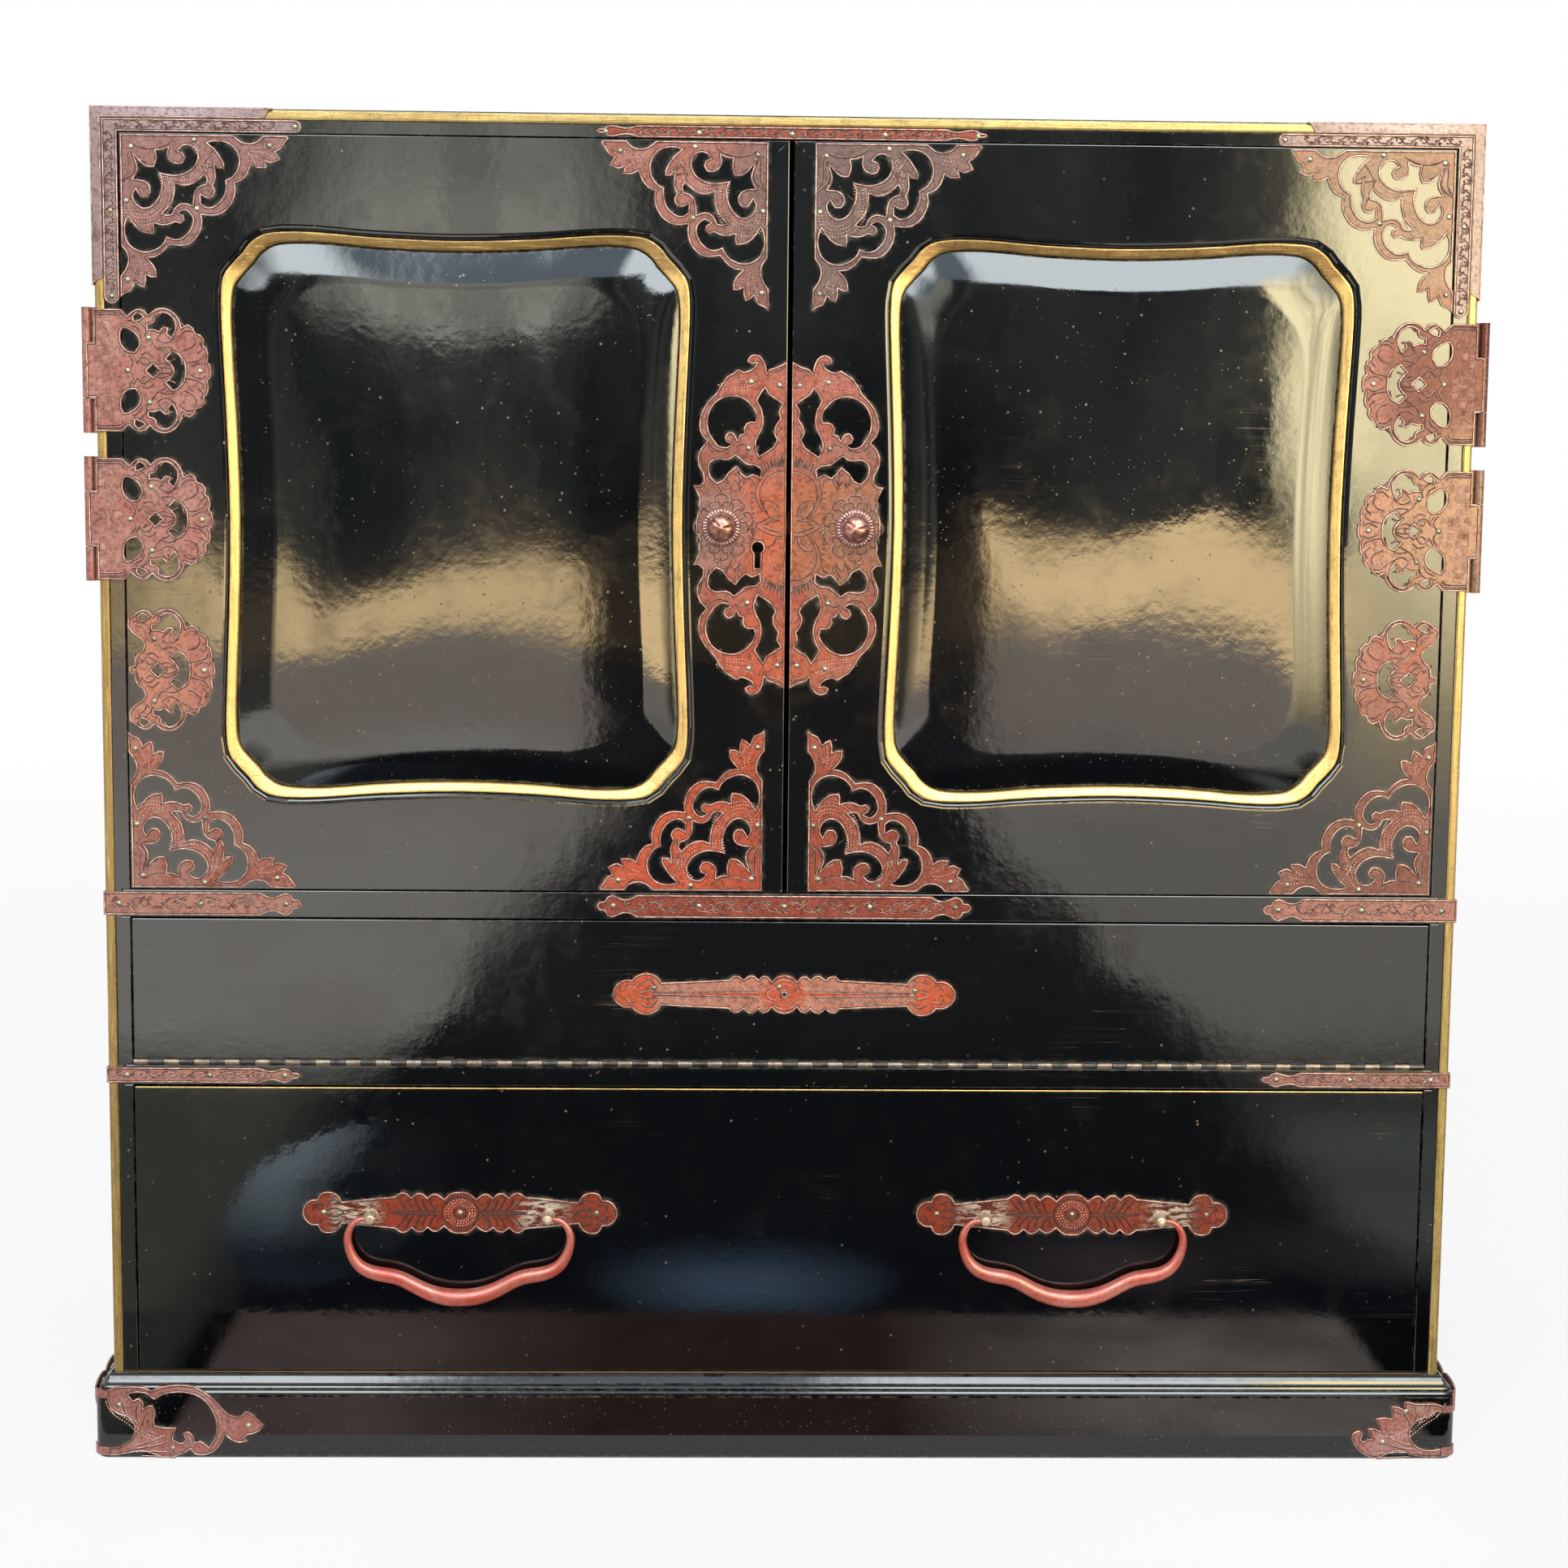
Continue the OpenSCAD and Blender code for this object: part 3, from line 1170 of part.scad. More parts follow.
module flap_plate() {
    color("#9d553d") place() sheet(mount_y, mount_t) translate([0.6, flap_mid_z]) difference() {
        polygon(long_plate(scaled(flap_plate_edge, flap_plate_s, flap_plate_s)));
        circle(r = 1.2, $fn = 16);
    }
}

module flap_nails() {
    color("#b8a98c") place() {
        for (n = [[-84.5, 4], [-3, 5], [86, 3]])
            nail(n[0] * flap_plate_s, flap_mid_z + n[1] * flap_plate_s, mount_y);
    }
}

// Drawer
module drawer_front() {
    back = drawer_face_y + drawer_t;
    color("#15120f") place() difference() {
        box(-drawer_half, drawer_half, drawer_face_y, back, drawer_z, drawer_z + drawer_h);
        pair() box(drawer_half - drawer_side_t, drawer_half + eps, back - drawer_lap, back + eps,
            drawer_z - eps, drawer_side_top);
        box(-drawer_half + drawer_side_t - drawer_groove, drawer_half - drawer_side_t + drawer_groove,
            back - drawer_groove, back + eps, drawer_groove_z, drawer_groove_z + drawer_bottom_t);
    }
}

module drawer_side() {
    inner = drawer_half - drawer_side_t;
    back = drawer_face_y + drawer_t;
    difference() {
        box(inner, drawer_half, back - drawer_lap, drawer_back_y, drawer_side_z, drawer_side_top);
        box(drawer_half - 12, drawer_half + eps, back - drawer_lap - eps, back, drawer_side_z - eps, drawer_z);
        box(inner - eps, inner + drawer_groove, back - drawer_lap - eps, drawer_back_y + eps,
            drawer_groove_z, drawer_groove_z + drawer_bottom_t);
        box(inner - eps, inner + drawer_groove, drawer_back_y - 2 * drawer_side_t, drawer_back_y - drawer_side_t,
            drawer_groove_z, drawer_side_top + eps);
    }
}

module drawer_sides() {
    color("#6e543a") place() pair() drawer_side();
}

module drawer_back() {
    reach = drawer_half - drawer_side_t + drawer_groove;
    color("#6e543a") place()
        box(-reach, reach, drawer_back_y - 2 * drawer_side_t, drawer_back_y - drawer_side_t,
            drawer_groove_z + drawer_bottom_t, drawer_side_top);
}

module drawer_bottom() {
    reach = drawer_half - drawer_side_t + drawer_groove;
    color("#775c40") place()
        box(-reach, reach, drawer_face_y + drawer_t - drawer_groove, drawer_back_y,
            drawer_groove_z, drawer_groove_z + drawer_bottom_t);
}

module handle_plates() {
    color("#8f3d29") place() for (x = handle_x)
        sheet(drawer_face_y - plate_t, plate_t) translate([x, handle_z])
        polygon(long_plate(scaled(handle_plate_edge, handle_plate_s, handle_plate_s)));
}

module handle_post(x) {
    difference() {
        translate([x, drawer_face_y, bail_z]) rotate([90, 0, 0]) rotate_extrude($fn = 32) polygon([
            [0, -17], [2, -17], [2, plate_t], [post_r + 1.2, plate_t], [post_r, plate_t + 1.4],
            [post_r, bail_out + 2.4], [post_r - 0.8, bail_out + 3.4], [0, bail_out + 3.8]
        ]);
        translate([x - post_r - 2, bail_y, bail_z]) rotate([0, 90, 0])
            cylinder(h = 2 * post_r + 4, r = bail_pin_r + pin_clear, $fn = 24);
    }
}

module handle_posts() {
    color("#c9b79a") place() for (x = handle_x) for (s = [-1, 1]) handle_post(x + s * post_x);
}

module drawer_nails() {
    color("#b8a98c") place() for (x = handle_x) for (n = [-89.5, 0, 89.5])
        nail(x + n * handle_plate_s, handle_z, drawer_face_y - plate_t);
}

// Bail: rings of points along its middle line, from one pin's end to the other
bail_sides = 12;
bail_pin_in = post_x - post_r - 1.5;
bail_line = concat(
    [[-bail_pin_in, 0, bail_pin_r]],
    [for (i = [len(bail_half) - 1:-1:1]) [-bail_half[i][0], bail_half[i][1], bail_half[i][2]]],
    bail_half,
    [[bail_pin_in, 0, bail_pin_r]]
);

function bail_ring(i) =
    let (n = len(bail_line),
         p = bail_line[i],
         a = xy(bail_line[max(i - 1, 0)]),
         b = xy(bail_line[min(i + 1, n - 1)]),
         in_dir = i == 0 ? (b - xy(p)) / norm(b - xy(p)) : (xy(p) - a) / norm(xy(p) - a),
         out_dir = i == n - 1 ? in_dir : (b - xy(p)) / norm(b - xy(p)),
         sum = in_dir + out_dir,
         t = sum / norm(sum),
         stretch = min(1.6, 1 / max(0.3, t * in_dir)))
    [for (k = [0:bail_sides - 1])
        let (w = 360 * k / bail_sides,
             u = p[2] * cos(w) * stretch,
             v = p[2] * sin(w))
        [p[0] - t[1] * u, v, p[1] + t[0] * u]];

module bail(x) {
    n = len(bail_line);
    m = bail_sides;
    points = [for (i = [0:n - 1]) for (q = bail_ring(i)) q];
    walls = [for (i = [0:n - 2]) for (k = [0:m - 1])
        [i * m + k, i * m + (k + 1) % m, (i + 1) * m + (k + 1) % m, (i + 1) * m + k]];
    first = [for (k = [m - 1:-1:0]) k];
    last = [for (k = [0:m - 1]) (n - 1) * m + k];
    translate([x, bail_y, bail_z]) polyhedron(points, concat(walls, [first], [last]));
}

module left_bail() {
    color("#a04a38") place() bail(handle_x[0]);
}

module right_bail() {
    color("#a04a38") place() bail(handle_x[1]);
}

// Nails of the case straps and plinth mounts
module case_nails() {
    in = rail_strap_half - 11;
    top_in = top_strap_half - 6.5;
    end_x = side_x - end_strap_l + 10.5;
    end_mid = (end_x + side_x) / 2 - 3.5;
    s = plinth_mount_s;
    color("#b8a98c") place() {
        for (x = [-in, -in / 2, 0, in / 2, in]) nail(x, upper_strap_z + 0.4, -mount_t);
        for (x = [-top_in, -top_in / 2, 0, top_in / 2, top_in])
            nail(x, top_strap_z - 0.4, -mount_t);
        pair() {
            for (x = [end_x, end_mid, side_x - 9]) nail(x, upper_strap_z, -mount_t);
            for (x = [end_x + 2, end_mid - 4, side_x - 12]) nail(x, lower_strap_z, -mount_t);
            nail(side_x - gilt_w - corner_strap_l + 4, (gilt_low + top_z) / 2, -mount_t);
            for (z = [4.6, 58]) nail(side_x - gilt_w - 4.8, corner_strap_low + z, -mount_t);
            for (n = ring_nails) translate([side_x + plinth_proud + mount_t, n[0] * s, n[1] * s])
                rotate([0, 0, 90]) nail(0, 0, 0);
        }
        for (n = ring_nails) nail(-side_x + n[0] * s, n[1] * s, -plinth_proud - mount_t);
        for (n = worn_nails) nail(side_x - n[0] * s, n[1] * s, -plinth_proud - mount_t);
    }
}

case_left_side();
case_right_side();
case_top();
case_bottom();
case_back();
upper_rail_board();
lower_rail_board();
inner_shelf();
gilt_edging();
plinth_front();
plinth_sides_and_back();
plinth_mounts();
top_corner_straps();
top_edge_caps();
rail_straps();
door_hinge_case_leaves();
door_hinge_pins();
flap_hinge_case_leaf();
flap_hinge_pin();
stay_screws();
case_nails();
left_door_stiles();
left_door_rails();
left_door_panel();
left_gilt_moulding();
left_hinge_leaves();
left_door_mounts();
left_lock_plate();
left_knob();
lock_case();
lock_bolt();
left_door_nails();
right_door_stiles();
right_door_rails();
right_door_panel();
right_gilt_moulding();
right_hinge_leaves();
right_door_mounts();
right_lock_plate();
right_knob();
lock_keep();
right_door_nails();
flap_board();
flap_hinge_flap_leaf();
flap_plate();
stay_brackets();
flap_nails();
left_flap_stay();
right_flap_stay();
drawer_front();
drawer_sides();
drawer_back();
drawer_bottom();
handle_plates();
handle_posts();
drawer_nails();
left_bail();
right_bail();
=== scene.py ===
"""Black lacquered storage chest with red iron mounts, gilt edging and a soft studio round it.

Each operator dresses one group of pieces of the solid model. The solid model gives every
place and size; what is added here is the fine relief and the finish.
"""

import json
import math

import bmesh
import bpy
from bpy.props import FloatProperty, FloatVectorProperty, IntProperty, PointerProperty
from mathutils import Matrix, Vector

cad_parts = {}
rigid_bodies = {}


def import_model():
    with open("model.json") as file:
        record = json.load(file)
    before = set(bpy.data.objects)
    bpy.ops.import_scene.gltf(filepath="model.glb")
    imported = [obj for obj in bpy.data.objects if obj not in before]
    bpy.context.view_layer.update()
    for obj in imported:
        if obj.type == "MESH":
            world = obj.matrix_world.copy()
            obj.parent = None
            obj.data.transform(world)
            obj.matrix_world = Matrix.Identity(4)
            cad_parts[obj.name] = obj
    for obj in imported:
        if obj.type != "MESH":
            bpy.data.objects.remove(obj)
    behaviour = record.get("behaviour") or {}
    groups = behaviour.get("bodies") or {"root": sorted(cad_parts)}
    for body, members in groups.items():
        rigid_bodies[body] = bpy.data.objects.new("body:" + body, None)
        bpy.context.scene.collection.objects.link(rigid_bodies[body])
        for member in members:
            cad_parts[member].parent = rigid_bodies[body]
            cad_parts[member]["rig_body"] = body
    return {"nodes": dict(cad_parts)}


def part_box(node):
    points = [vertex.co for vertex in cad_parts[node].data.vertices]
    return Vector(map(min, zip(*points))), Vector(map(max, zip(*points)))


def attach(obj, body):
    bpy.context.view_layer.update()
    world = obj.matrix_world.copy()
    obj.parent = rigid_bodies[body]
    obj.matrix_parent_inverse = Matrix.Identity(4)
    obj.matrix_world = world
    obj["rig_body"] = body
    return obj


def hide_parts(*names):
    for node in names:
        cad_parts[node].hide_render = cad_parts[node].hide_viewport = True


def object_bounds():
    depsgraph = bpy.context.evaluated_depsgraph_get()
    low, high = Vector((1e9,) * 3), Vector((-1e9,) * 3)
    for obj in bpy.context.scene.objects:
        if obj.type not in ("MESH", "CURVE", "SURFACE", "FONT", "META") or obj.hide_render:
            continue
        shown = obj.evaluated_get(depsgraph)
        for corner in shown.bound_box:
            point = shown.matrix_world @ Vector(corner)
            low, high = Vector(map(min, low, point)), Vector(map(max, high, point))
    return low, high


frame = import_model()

bl_info = {
    "name": "Lacquered storage chest",
    "version": (1, 0, 0),
    "blender": (4, 5, 0),
    "location": "View3D > Sidebar > Chest",
    "description": "Dresses a storage chest with lacquer, pierced iron mounts and gilding",
    "category": "Object",
}

CAD_BOX = [list(corner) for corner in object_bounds()]
MM = 0.001
WELD = 0.000002
CRISP = math.radians(60)
AHEAD = Vector((0, -1, 0))
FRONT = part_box("case_left_side")[0].y
HALF_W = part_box("case_right_side")[1].x
DOOR_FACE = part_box("right_door_stiles")[0].y
DOOR_LOW, DOOR_HIGH = (corner.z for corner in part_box("right_door_stiles"))
DOOR_IN, DOOR_OUT = (corner.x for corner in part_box("right_door_stiles"))
PANEL_MID = Vector(((DOOR_IN + DOOR_OUT) / 2, 0, (DOOR_LOW + DOOR_HIGH) / 2))
MOULDING_HALF = (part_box("right_gilt_moulding")[1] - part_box("right_gilt_moulding")[0]) / 2
LOCK_Z = sum(corner.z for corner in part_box("right_lock_plate")) / 2
MOUNT_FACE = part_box("right_door_mounts")[0].y
LEAF_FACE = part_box("right_hinge_leaves")[0].y
FALSE_HINGE_Z = PANEL_MID.z - (DOOR_HIGH - DOOR_LOW) * 0.2042
LEAF_HALF = 39.5 * MM
LEAF_MIDDLES = (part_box("right_hinge_leaves")[1].z - LEAF_HALF,
                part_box("right_hinge_leaves")[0].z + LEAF_HALF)


def colour_value(red, green, blue, name, description):
    """A colour that a user can change, as it looks on the screen."""
    return FloatVectorProperty(
        name=name, description=description, subtype="COLOR_GAMMA", size=3,
        min=0, max=1, default=(red, green, blue))


def length_value(size, name, description):
    """A length that a user can change, in metres, given here in millimetres."""
    return FloatProperty(
        name=name, description=description, subtype="DISTANCE", unit="LENGTH",
        min=0, soft_max=1, precision=5, default=size * MM)


class ChestColours(bpy.types.PropertyGroup):
    """Colours of the chest's finishes."""

    lacquer: colour_value(0.033, 0.036, 0.045, "Lacquer", "Black lacquer of the boards")
    lacquer_brown: colour_value(0.17, 0.12, 0.10, "Thin lacquer", "Lacquer rubbed thin")
    lacquer_chip: colour_value(0.55, 0.47, 0.38, "Chipped lacquer", "Ground in the scratches")
    iron: colour_value(0.62, 0.33, 0.26, "Iron lacquer", "Red ground of the mounts")
    # Grime, also used as the painted shade that darkens the mounts' crevices.
    iron_grime_and_shade: colour_value(0.24, 0.12, 0.10, "Grime", "Dark grime in hollows and cuts")
    iron_bright: colour_value(0.84, 0.35, 0.20, "Bright iron lacquer", "Red that isn't faded")
    iron_rose: colour_value(0.66, 0.46, 0.41, "Rubbed iron lacquer", "Red rubbed to a rose tone")
    mauve_and_sheen: colour_value(0.60, 0.51, 0.50, "Mauve iron lacquer", "Lacquer of the top corners")
    # Mauve of the top corners: the lacquer's rubbed tone with a painted sheen in it.
    strap: colour_value(0.62, 0.27, 0.19, "Strap lacquer", "Lacquer of the middle straps")
    rim: colour_value(0.86, 0.71, 0.65, "Worn rim", "Bare metal along the mounts' edges")
    scratched: colour_value(0.88, 0.82, 0.73, "Scratched plate", "Bare metal behind the bails")
    gilt: colour_value(0.98, 0.81, 0.49, "Gilding", "Gold lacquer of mouldings and edging")
    # Worn gold, also used as the painted shade on the mouldings' top bars.
    gilt_worn_and_shaded: colour_value(0.50, 0.37, 0.17, "Worn gilding", "Gold lacquer where it is worn")
    bail: colour_value(0.77, 0.29, 0.20, "Bail lacquer", "Red lacquer of the bails")
    brass: colour_value(0.72, 0.60, 0.38, "Brass", "Lock bolt")
    dust: colour_value(0.42, 0.43, 0.38, "Dust", "Polish and dust along the mounts")
    nail: colour_value(0.66, 0.62, 0.54, "Nail heads", "Worn tops of the nails")
    plain_iron: colour_value(0.30, 0.28, 0.27, "Plain iron", "Lock, pins, stays and screws")
    wood: colour_value(0.62, 0.46, 0.30, "Wood", "Bare wood inside the drawer")
    wood_dark: colour_value(0.40, 0.27, 0.16, "Wood grain", "Dark lines of the wood")
    floor: colour_value(0.96, 0.96, 0.955, "Floor", "Studio floor")


class ChestSizes(bpy.types.PropertyGroup):
    """Sizes of the relief that the dressing adds."""

    rim: length_value(0.8, "Rim width", "Width of the worn slope along a mount's edge")
    line_in: length_value(0.35, "Line distance", "Distance from the rim to the engraved line")
    line: length_value(0.62, "Line width", "Width of the engraved line")
    lip: length_value(3.6, "Lip", "Rounding of the door frame's edge round the panel")
    edge: length_value(0.6, "Board edge", "Rounding of the boards' edges")
    pillow: length_value(25, "Pillow slope", "Width of the sloping edge of a door panel")
    ridge: length_value(0.30, "Ridge size", "Radius of an engraved ridge")
    dot_r: length_value(0.58, "Dot size", "Radius of a punched dot")
    dot_step: length_value(1.9, "Dot spacing", "Distance between punched dots")
    flutes: IntProperty(
        name="Flutes", description="Flutes round a knob's rose", min=12, max=60, default=34)


class StudioSettings(bpy.types.PropertyGroup):
    """Camera and lights."""

    lens: FloatProperty(
        name="Lens", description="Focal length", subtype="DISTANCE_CAMERA",
        min=10, max=200, default=63.354)
    eye: FloatVectorProperty(
        name="Camera place", description="Camera's place from the middle of the chest's front",
        subtype="TRANSLATION", size=3, default=(-0.04687, -1.77725, 0.65387))
    turn: FloatVectorProperty(
        name="Camera turn", description="Camera's tilt, roll and turn", subtype="EULER",
        size=3, default=(0.11472958, -0.02561544, 0.0071613))
    key: FloatProperty(
        name="Key light", description="Power of the large front light", unit="POWER",
        min=0, default=44)
    top: FloatProperty(
        name="Top light", description="Power of the light above", unit="POWER",
        min=0, default=26)
    ambient: FloatProperty(
        name="Ambient", description="Strength of the light from all round",
        min=0, max=2, default=0.36)


def colours():
    return bpy.context.scene.chest_colours


def sizes():
    return bpy.context.scene.chest_sizes


def linear(colour):
    """Colour value as the shader takes it."""
    return tuple(
        c / 12.92 if c <= 0.04045 else ((c + 0.055) / 1.055) ** 2.4 for c in colour) + (1.0,)


# ---------------------------------------------------------------- finishes


class Tree:
    """Nodes of a material or a world, with short calls that add and join them."""

    def __init__(self, owner):
        owner.use_nodes = True
        self.nodes = owner.node_tree.nodes
        self.links = owner.node_tree.links

    def give(self, socket, value):
        if isinstance(value, bpy.types.NodeSocket):
            self.links.new(value, socket)
        else:
            socket.default_value = value

    def add(self, kind, **inputs):
        node = self.nodes.new("ShaderNode" + kind)
        for key, value in inputs.items():
            self.give(node.inputs[key.replace("_", " ")], value)
        return node

    def sum(self, operation, first, second, clamp=True):
        """Result of a sum, kept between 0 and 1 unless clamp is off."""
        node = self.add("Math")
        node.operation = operation
        node.use_clamp = clamp
        self.give(node.inputs[0], first)
        self.give(node.inputs[1], second)
        return node.outputs[0]

    def plus(self, first, *others):
        for other in others:
            first = self.sum("ADD", first, other)
        return first

    def times(self, first, *others):
        for other in others:
            first = self.sum("MULTIPLY", first, other)
        return first

    def most(self, first, second):
        return self.sum("MAXIMUM", first, second)

    def apart(self, value, middle):
        """Distance between two values, up to 1."""
        return self.most(self.sum("SUBTRACT", value, middle),
                         self.sum("SUBTRACT", middle, value))

    def seen(self):
        """1 in what the camera, mirrors and glass show, 0 in the light that things receive."""
        rays = self.add("LightPath").outputs
        return self.plus(rays["Is Camera Ray"], rays["Is Glossy Ray"],
                         rays["Is Transmission Ray"])

    def show(self, factor, first, second, output="Material Output"):
        """Joins a blend of two shaders to the output."""
        blend = self.add("MixShader")
        for socket, value in zip(blend.inputs, (factor, first.outputs[0], second.outputs[0])):
            self.links.new(value, socket)
        self.links.new(blend.outputs[0], self.nodes[output].inputs[0])


class Finish(Tree):
    """A material in the making."""

    def __init__(self, name):
        self.material = bpy.data.materials.new(name)
        super().__init__(self.material)
        self.shader = self.nodes["Principled BSDF"]
        self.place = self.add("TexCoord").outputs["Object"]

    def axes(self):
        return tuple(self.add("SeparateXYZ", Vector=self.place).outputs)

    def noise(self, scale, detail=3.0, rough=0.55, stretch=None, turn=(0, 0, 0), warp=0.0):
        where = self.place
        if stretch:
            where = self.add("Mapping", Vector=where, Scale=stretch, Rotation=turn).outputs[0]
        return self.add("TexNoise", Vector=where, Scale=scale, Detail=detail, Roughness=rough,
                        Distortion=warp).outputs["Fac"]

    def between(self, value, low, high, out_low=0.0, out_high=1.0):
        """Ramp from one value to another, level outside its ends."""
        return self.add("MapRange", Value=value, From_Min=low, From_Max=high, To_Min=out_low,
                        To_Max=out_high).outputs[0]

    def mix(self, factor, first, second):
        node = self.add("Mix")
        node.data_type = "RGBA"
        self.give(node.inputs[0], factor)
        self.give(node.inputs[6], first)
        self.give(node.inputs[7], second)
        return node.outputs[2]

    def measure(self, operation, first, second):
        node = self.add("VectorMath")
        node.operation = operation
        self.give(node.inputs[0], first)
        self.give(node.inputs[1], second)
        return node.outputs["Value"]

    def near(self, point, inner, outer):
        """1 within the inner distance of a point, 0 past the outer one."""
        return self.between(self.measure("DISTANCE", self.place, point), inner, outer, 1.0, 0.0)

    def edges(self, radius):
        """1 on edges, 0 on flats."""
        soft = self.add("Bevel", Radius=radius)
        soft.samples = 4
        hard = self.add("NewGeometry").outputs["Normal"]
        return self.between(self.measure("DOT_PRODUCT", soft.outputs[0], hard), 0.995, 0.86)

    def crevice(self, reach, open_value, closed_value):
        """1 in corners and along edges of what lies on the surface, 0 in the open."""
        node = self.add("AmbientOcclusion", Distance=reach)
        node.samples = 6
        return self.between(node.outputs["AO"], open_value, closed_value)

    def bump(self, height, distance, strength=1.0, under=None):
        node = self.add("Bump", Height=height, Strength=strength, Distance=distance)
        if under:
            self.links.new(under, node.inputs["Normal"])
        return node.outputs[0]

    def finish(self, **inputs):
        for key, value in inputs.items():
            self.give(self.shader.inputs[key.replace("_", " ")], value)
        return self.material


def shade(colour, amount):
    """A colour made darker or brighter, as the shader takes it."""
    return linear([value * amount for value in colour])


def black_lacquer():
    """Lacquer with smudges, thin brown patches, dust, scratches and chipped edges."""
    f = Finish("black_lacquer")
    c = colours()
    chip = linear(c.lacquer_chip)
    smudge = f.noise(9, 4, 0.6)
    cloud = f.noise(38, 5, 0.65, warp=0.4)
    colour = f.mix(f.times(f.between(cloud, 0.50, 0.80), 0.22), linear(c.lacquer),
                   linear(c.lacquer_brown))
    chips = f.times(f.edges(0.0011), f.between(f.noise(260, 4, 0.7), 0.52, 0.62))
    colour = f.mix(f.times(chips, 0.5), colour, chip)
    marks = 0.0
    for scale, size in ((120.0, 0.12), (310.0, 0.16)):
        dust = f.add("TexVoronoi", Vector=f.place, Scale=scale).outputs
        spots = f.times(f.between(dust["Distance"], size, size * 0.6),
                        f.between(f.noise(scale / 5, 3), 0.42, 0.58),
                        f.between(dust["Color"], 0.62, 0.7))
        marks = f.most(marks, spots)
    for turn, stretch, seed in ((0.25, 60.0, 0.0), (-0.9, 45.0, 4.0)):
        line = f.noise(6, 1, 0.5, (1.0, 1.0, stretch), (0.0, turn, 0.0))
        thread = f.times(f.between(line, 0.590, 0.596), f.between(line, 0.606, 0.600))
        patch = f.between(f.noise(12, 2, 0.5, (1, 1, 1), (seed, turn, 0.0)), 0.66, 0.72)
        marks = f.most(marks, f.times(thread, patch, 0.5))
    colour = f.mix(f.times(marks, 0.6), colour, chip)
    residue = f.times(f.crevice(0.0028, 0.96, 0.68),
                      f.between(f.noise(150, 4, 0.65), 0.44, 0.62, 0.0, 0.6))
    colour = f.mix(residue, colour, linear(c.dust))
    rough = f.plus(f.between(smudge, 0.35, 0.75, 0.035, 0.11),
                   f.times(f.between(cloud, 0.5, 0.8), 0.07),
                   f.times(f.most(marks, chips), 0.35), f.times(residue, 0.3))
    waves = f.bump(f.noise(7, 2, 0.5), 0.0005)
    skin = f.bump(f.noise(170, 2, 0.5), 0.00003, under=waves)
    brush = f.bump(f.noise(34, 2, 0.5, (1.0, 1.0, 0.3)), 0.00008, under=skin)
    return f.finish(Base_Color=colour, Roughness=rough, Normal=brush, Specular_IOR_Level=0.62)


def red_iron(name, red, veil, amount, tints=(), pale=(), shine=0.4, coat=0.15, wear=1.0,
             lens=None):
    """Lacquered iron: a red ground under a rubbed veil, with grime and bare metal.

    Amount is how much of the veil is left. Tints lists places with a tint, partly a colour of
    their own and partly painted sheen, reflection and shade; pale lists places scratched down to
    the metal, and lens is a long bright stripe on a plate.
    """
    f = Finish(name)
    c = colours()
    dark = linear(c.iron_grime_and_shade)
    fine = f.noise(420, 5, 0.7)
    cover = f.between(f.noise(48, 5, 0.62, warp=0.5), 0.40, 0.60, max(0.0, amount * 2 - 1),
                      min(1.0, amount * 2))
    base = f.mix(cover, linear(red), linear(veil))
    for point, inner, outer, strength, colour in tints:
        base = f.mix(f.times(f.near(point, inner, outer), strength), base, linear(colour))
    if lens:
        middle, half_length, half_height = lens
        x, _, z = f.axes()
        edge = f.between(f.apart(x, middle.x), 0, half_length, half_height, 0)
        inside = f.sum("SUBTRACT", edge, f.apart(z, middle.z))
        base = f.mix(f.between(inside, 0, 0.0002), base, linear(c.iron_bright))
    grime = f.between(fine, 0.52, 0.38)
    base = f.mix(f.times(grime, 0.6 * wear), base, dark)
    stains = f.between(f.noise(85, 4, 0.6), 0.60, 0.72)
    base = f.mix(f.times(stains, 0.55 * wear), base, dark)
    # Darker in the crevices round the relief: partly grime, partly painted shade.
    base = f.mix(f.times(f.crevice(0.0014, 0.9, 0.45), 0.6), base, dark)
    rubbed = f.times(f.between(f.noise(760, 3, 0.7), 0.56, 0.68),
                     f.between(f.noise(60, 3, 0.6), 0.42, 0.62))
    base = f.mix(f.times(rubbed, 0.5), base, linear(c.rim))
    if pale:
        streaks = f.between(f.noise(420, 4, 0.75, (0.25, 1.0, 1.0), (0.0, 0.7, 0.0)), 0.47, 0.56)
        for point, inner, outer, strength in pale:
            near = f.times(f.near(point, inner, outer), strength)
            base = f.mix(f.times(near, 0.6), base, dark)
            base = f.mix(f.times(near, streaks), base, linear(c.scratched))
    rough = f.between(f.noise(180, 4, 0.6), 0.3, 0.7, 0.26, 0.44)
    relief = f.bump(fine, 0.00012, 0.8)
    relief = f.bump(f.noise(90, 3, 0.6), 0.0003, 0.7, under=relief)
    return f.finish(Base_Color=base, Roughness=rough, Normal=relief, Metallic=0.1,
                    Specular_IOR_Level=shine, Coat_Weight=coat, Coat_Roughness=0.22)


def rubbed_rim():
    """Iron rubbed bare along a mount's edge."""
    f = Finish("rubbed_rim")
    c = colours()
    worn = f.between(f.noise(200, 5, 0.7), 0.38, 0.58)
    base = f.mix(worn, shade(c.iron_rose, 0.82), linear(c.rim))
    rough = f.between(f.noise(300, 3), 0.3, 0.7, 0.24, 0.42)
    return f.finish(Base_Color=base, Roughness=rough, Metallic=0.5,
                    Normal=f.bump(f.noise(600, 3), 0.0001, 0.7))


def dark_cut():
    """Grime in an engraved line."""
    f = Finish("dark_cut")
    c = colours()
    base = f.mix(f.between(f.noise(320, 4), 0.35, 0.65), linear(c.iron_grime_and_shade),
                 shade(c.iron_grime_and_shade, 0.5))
    return f.finish(Base_Color=base, Roughness=f.between(f.noise(200, 3), 0.3, 0.7, 0.5, 0.7))


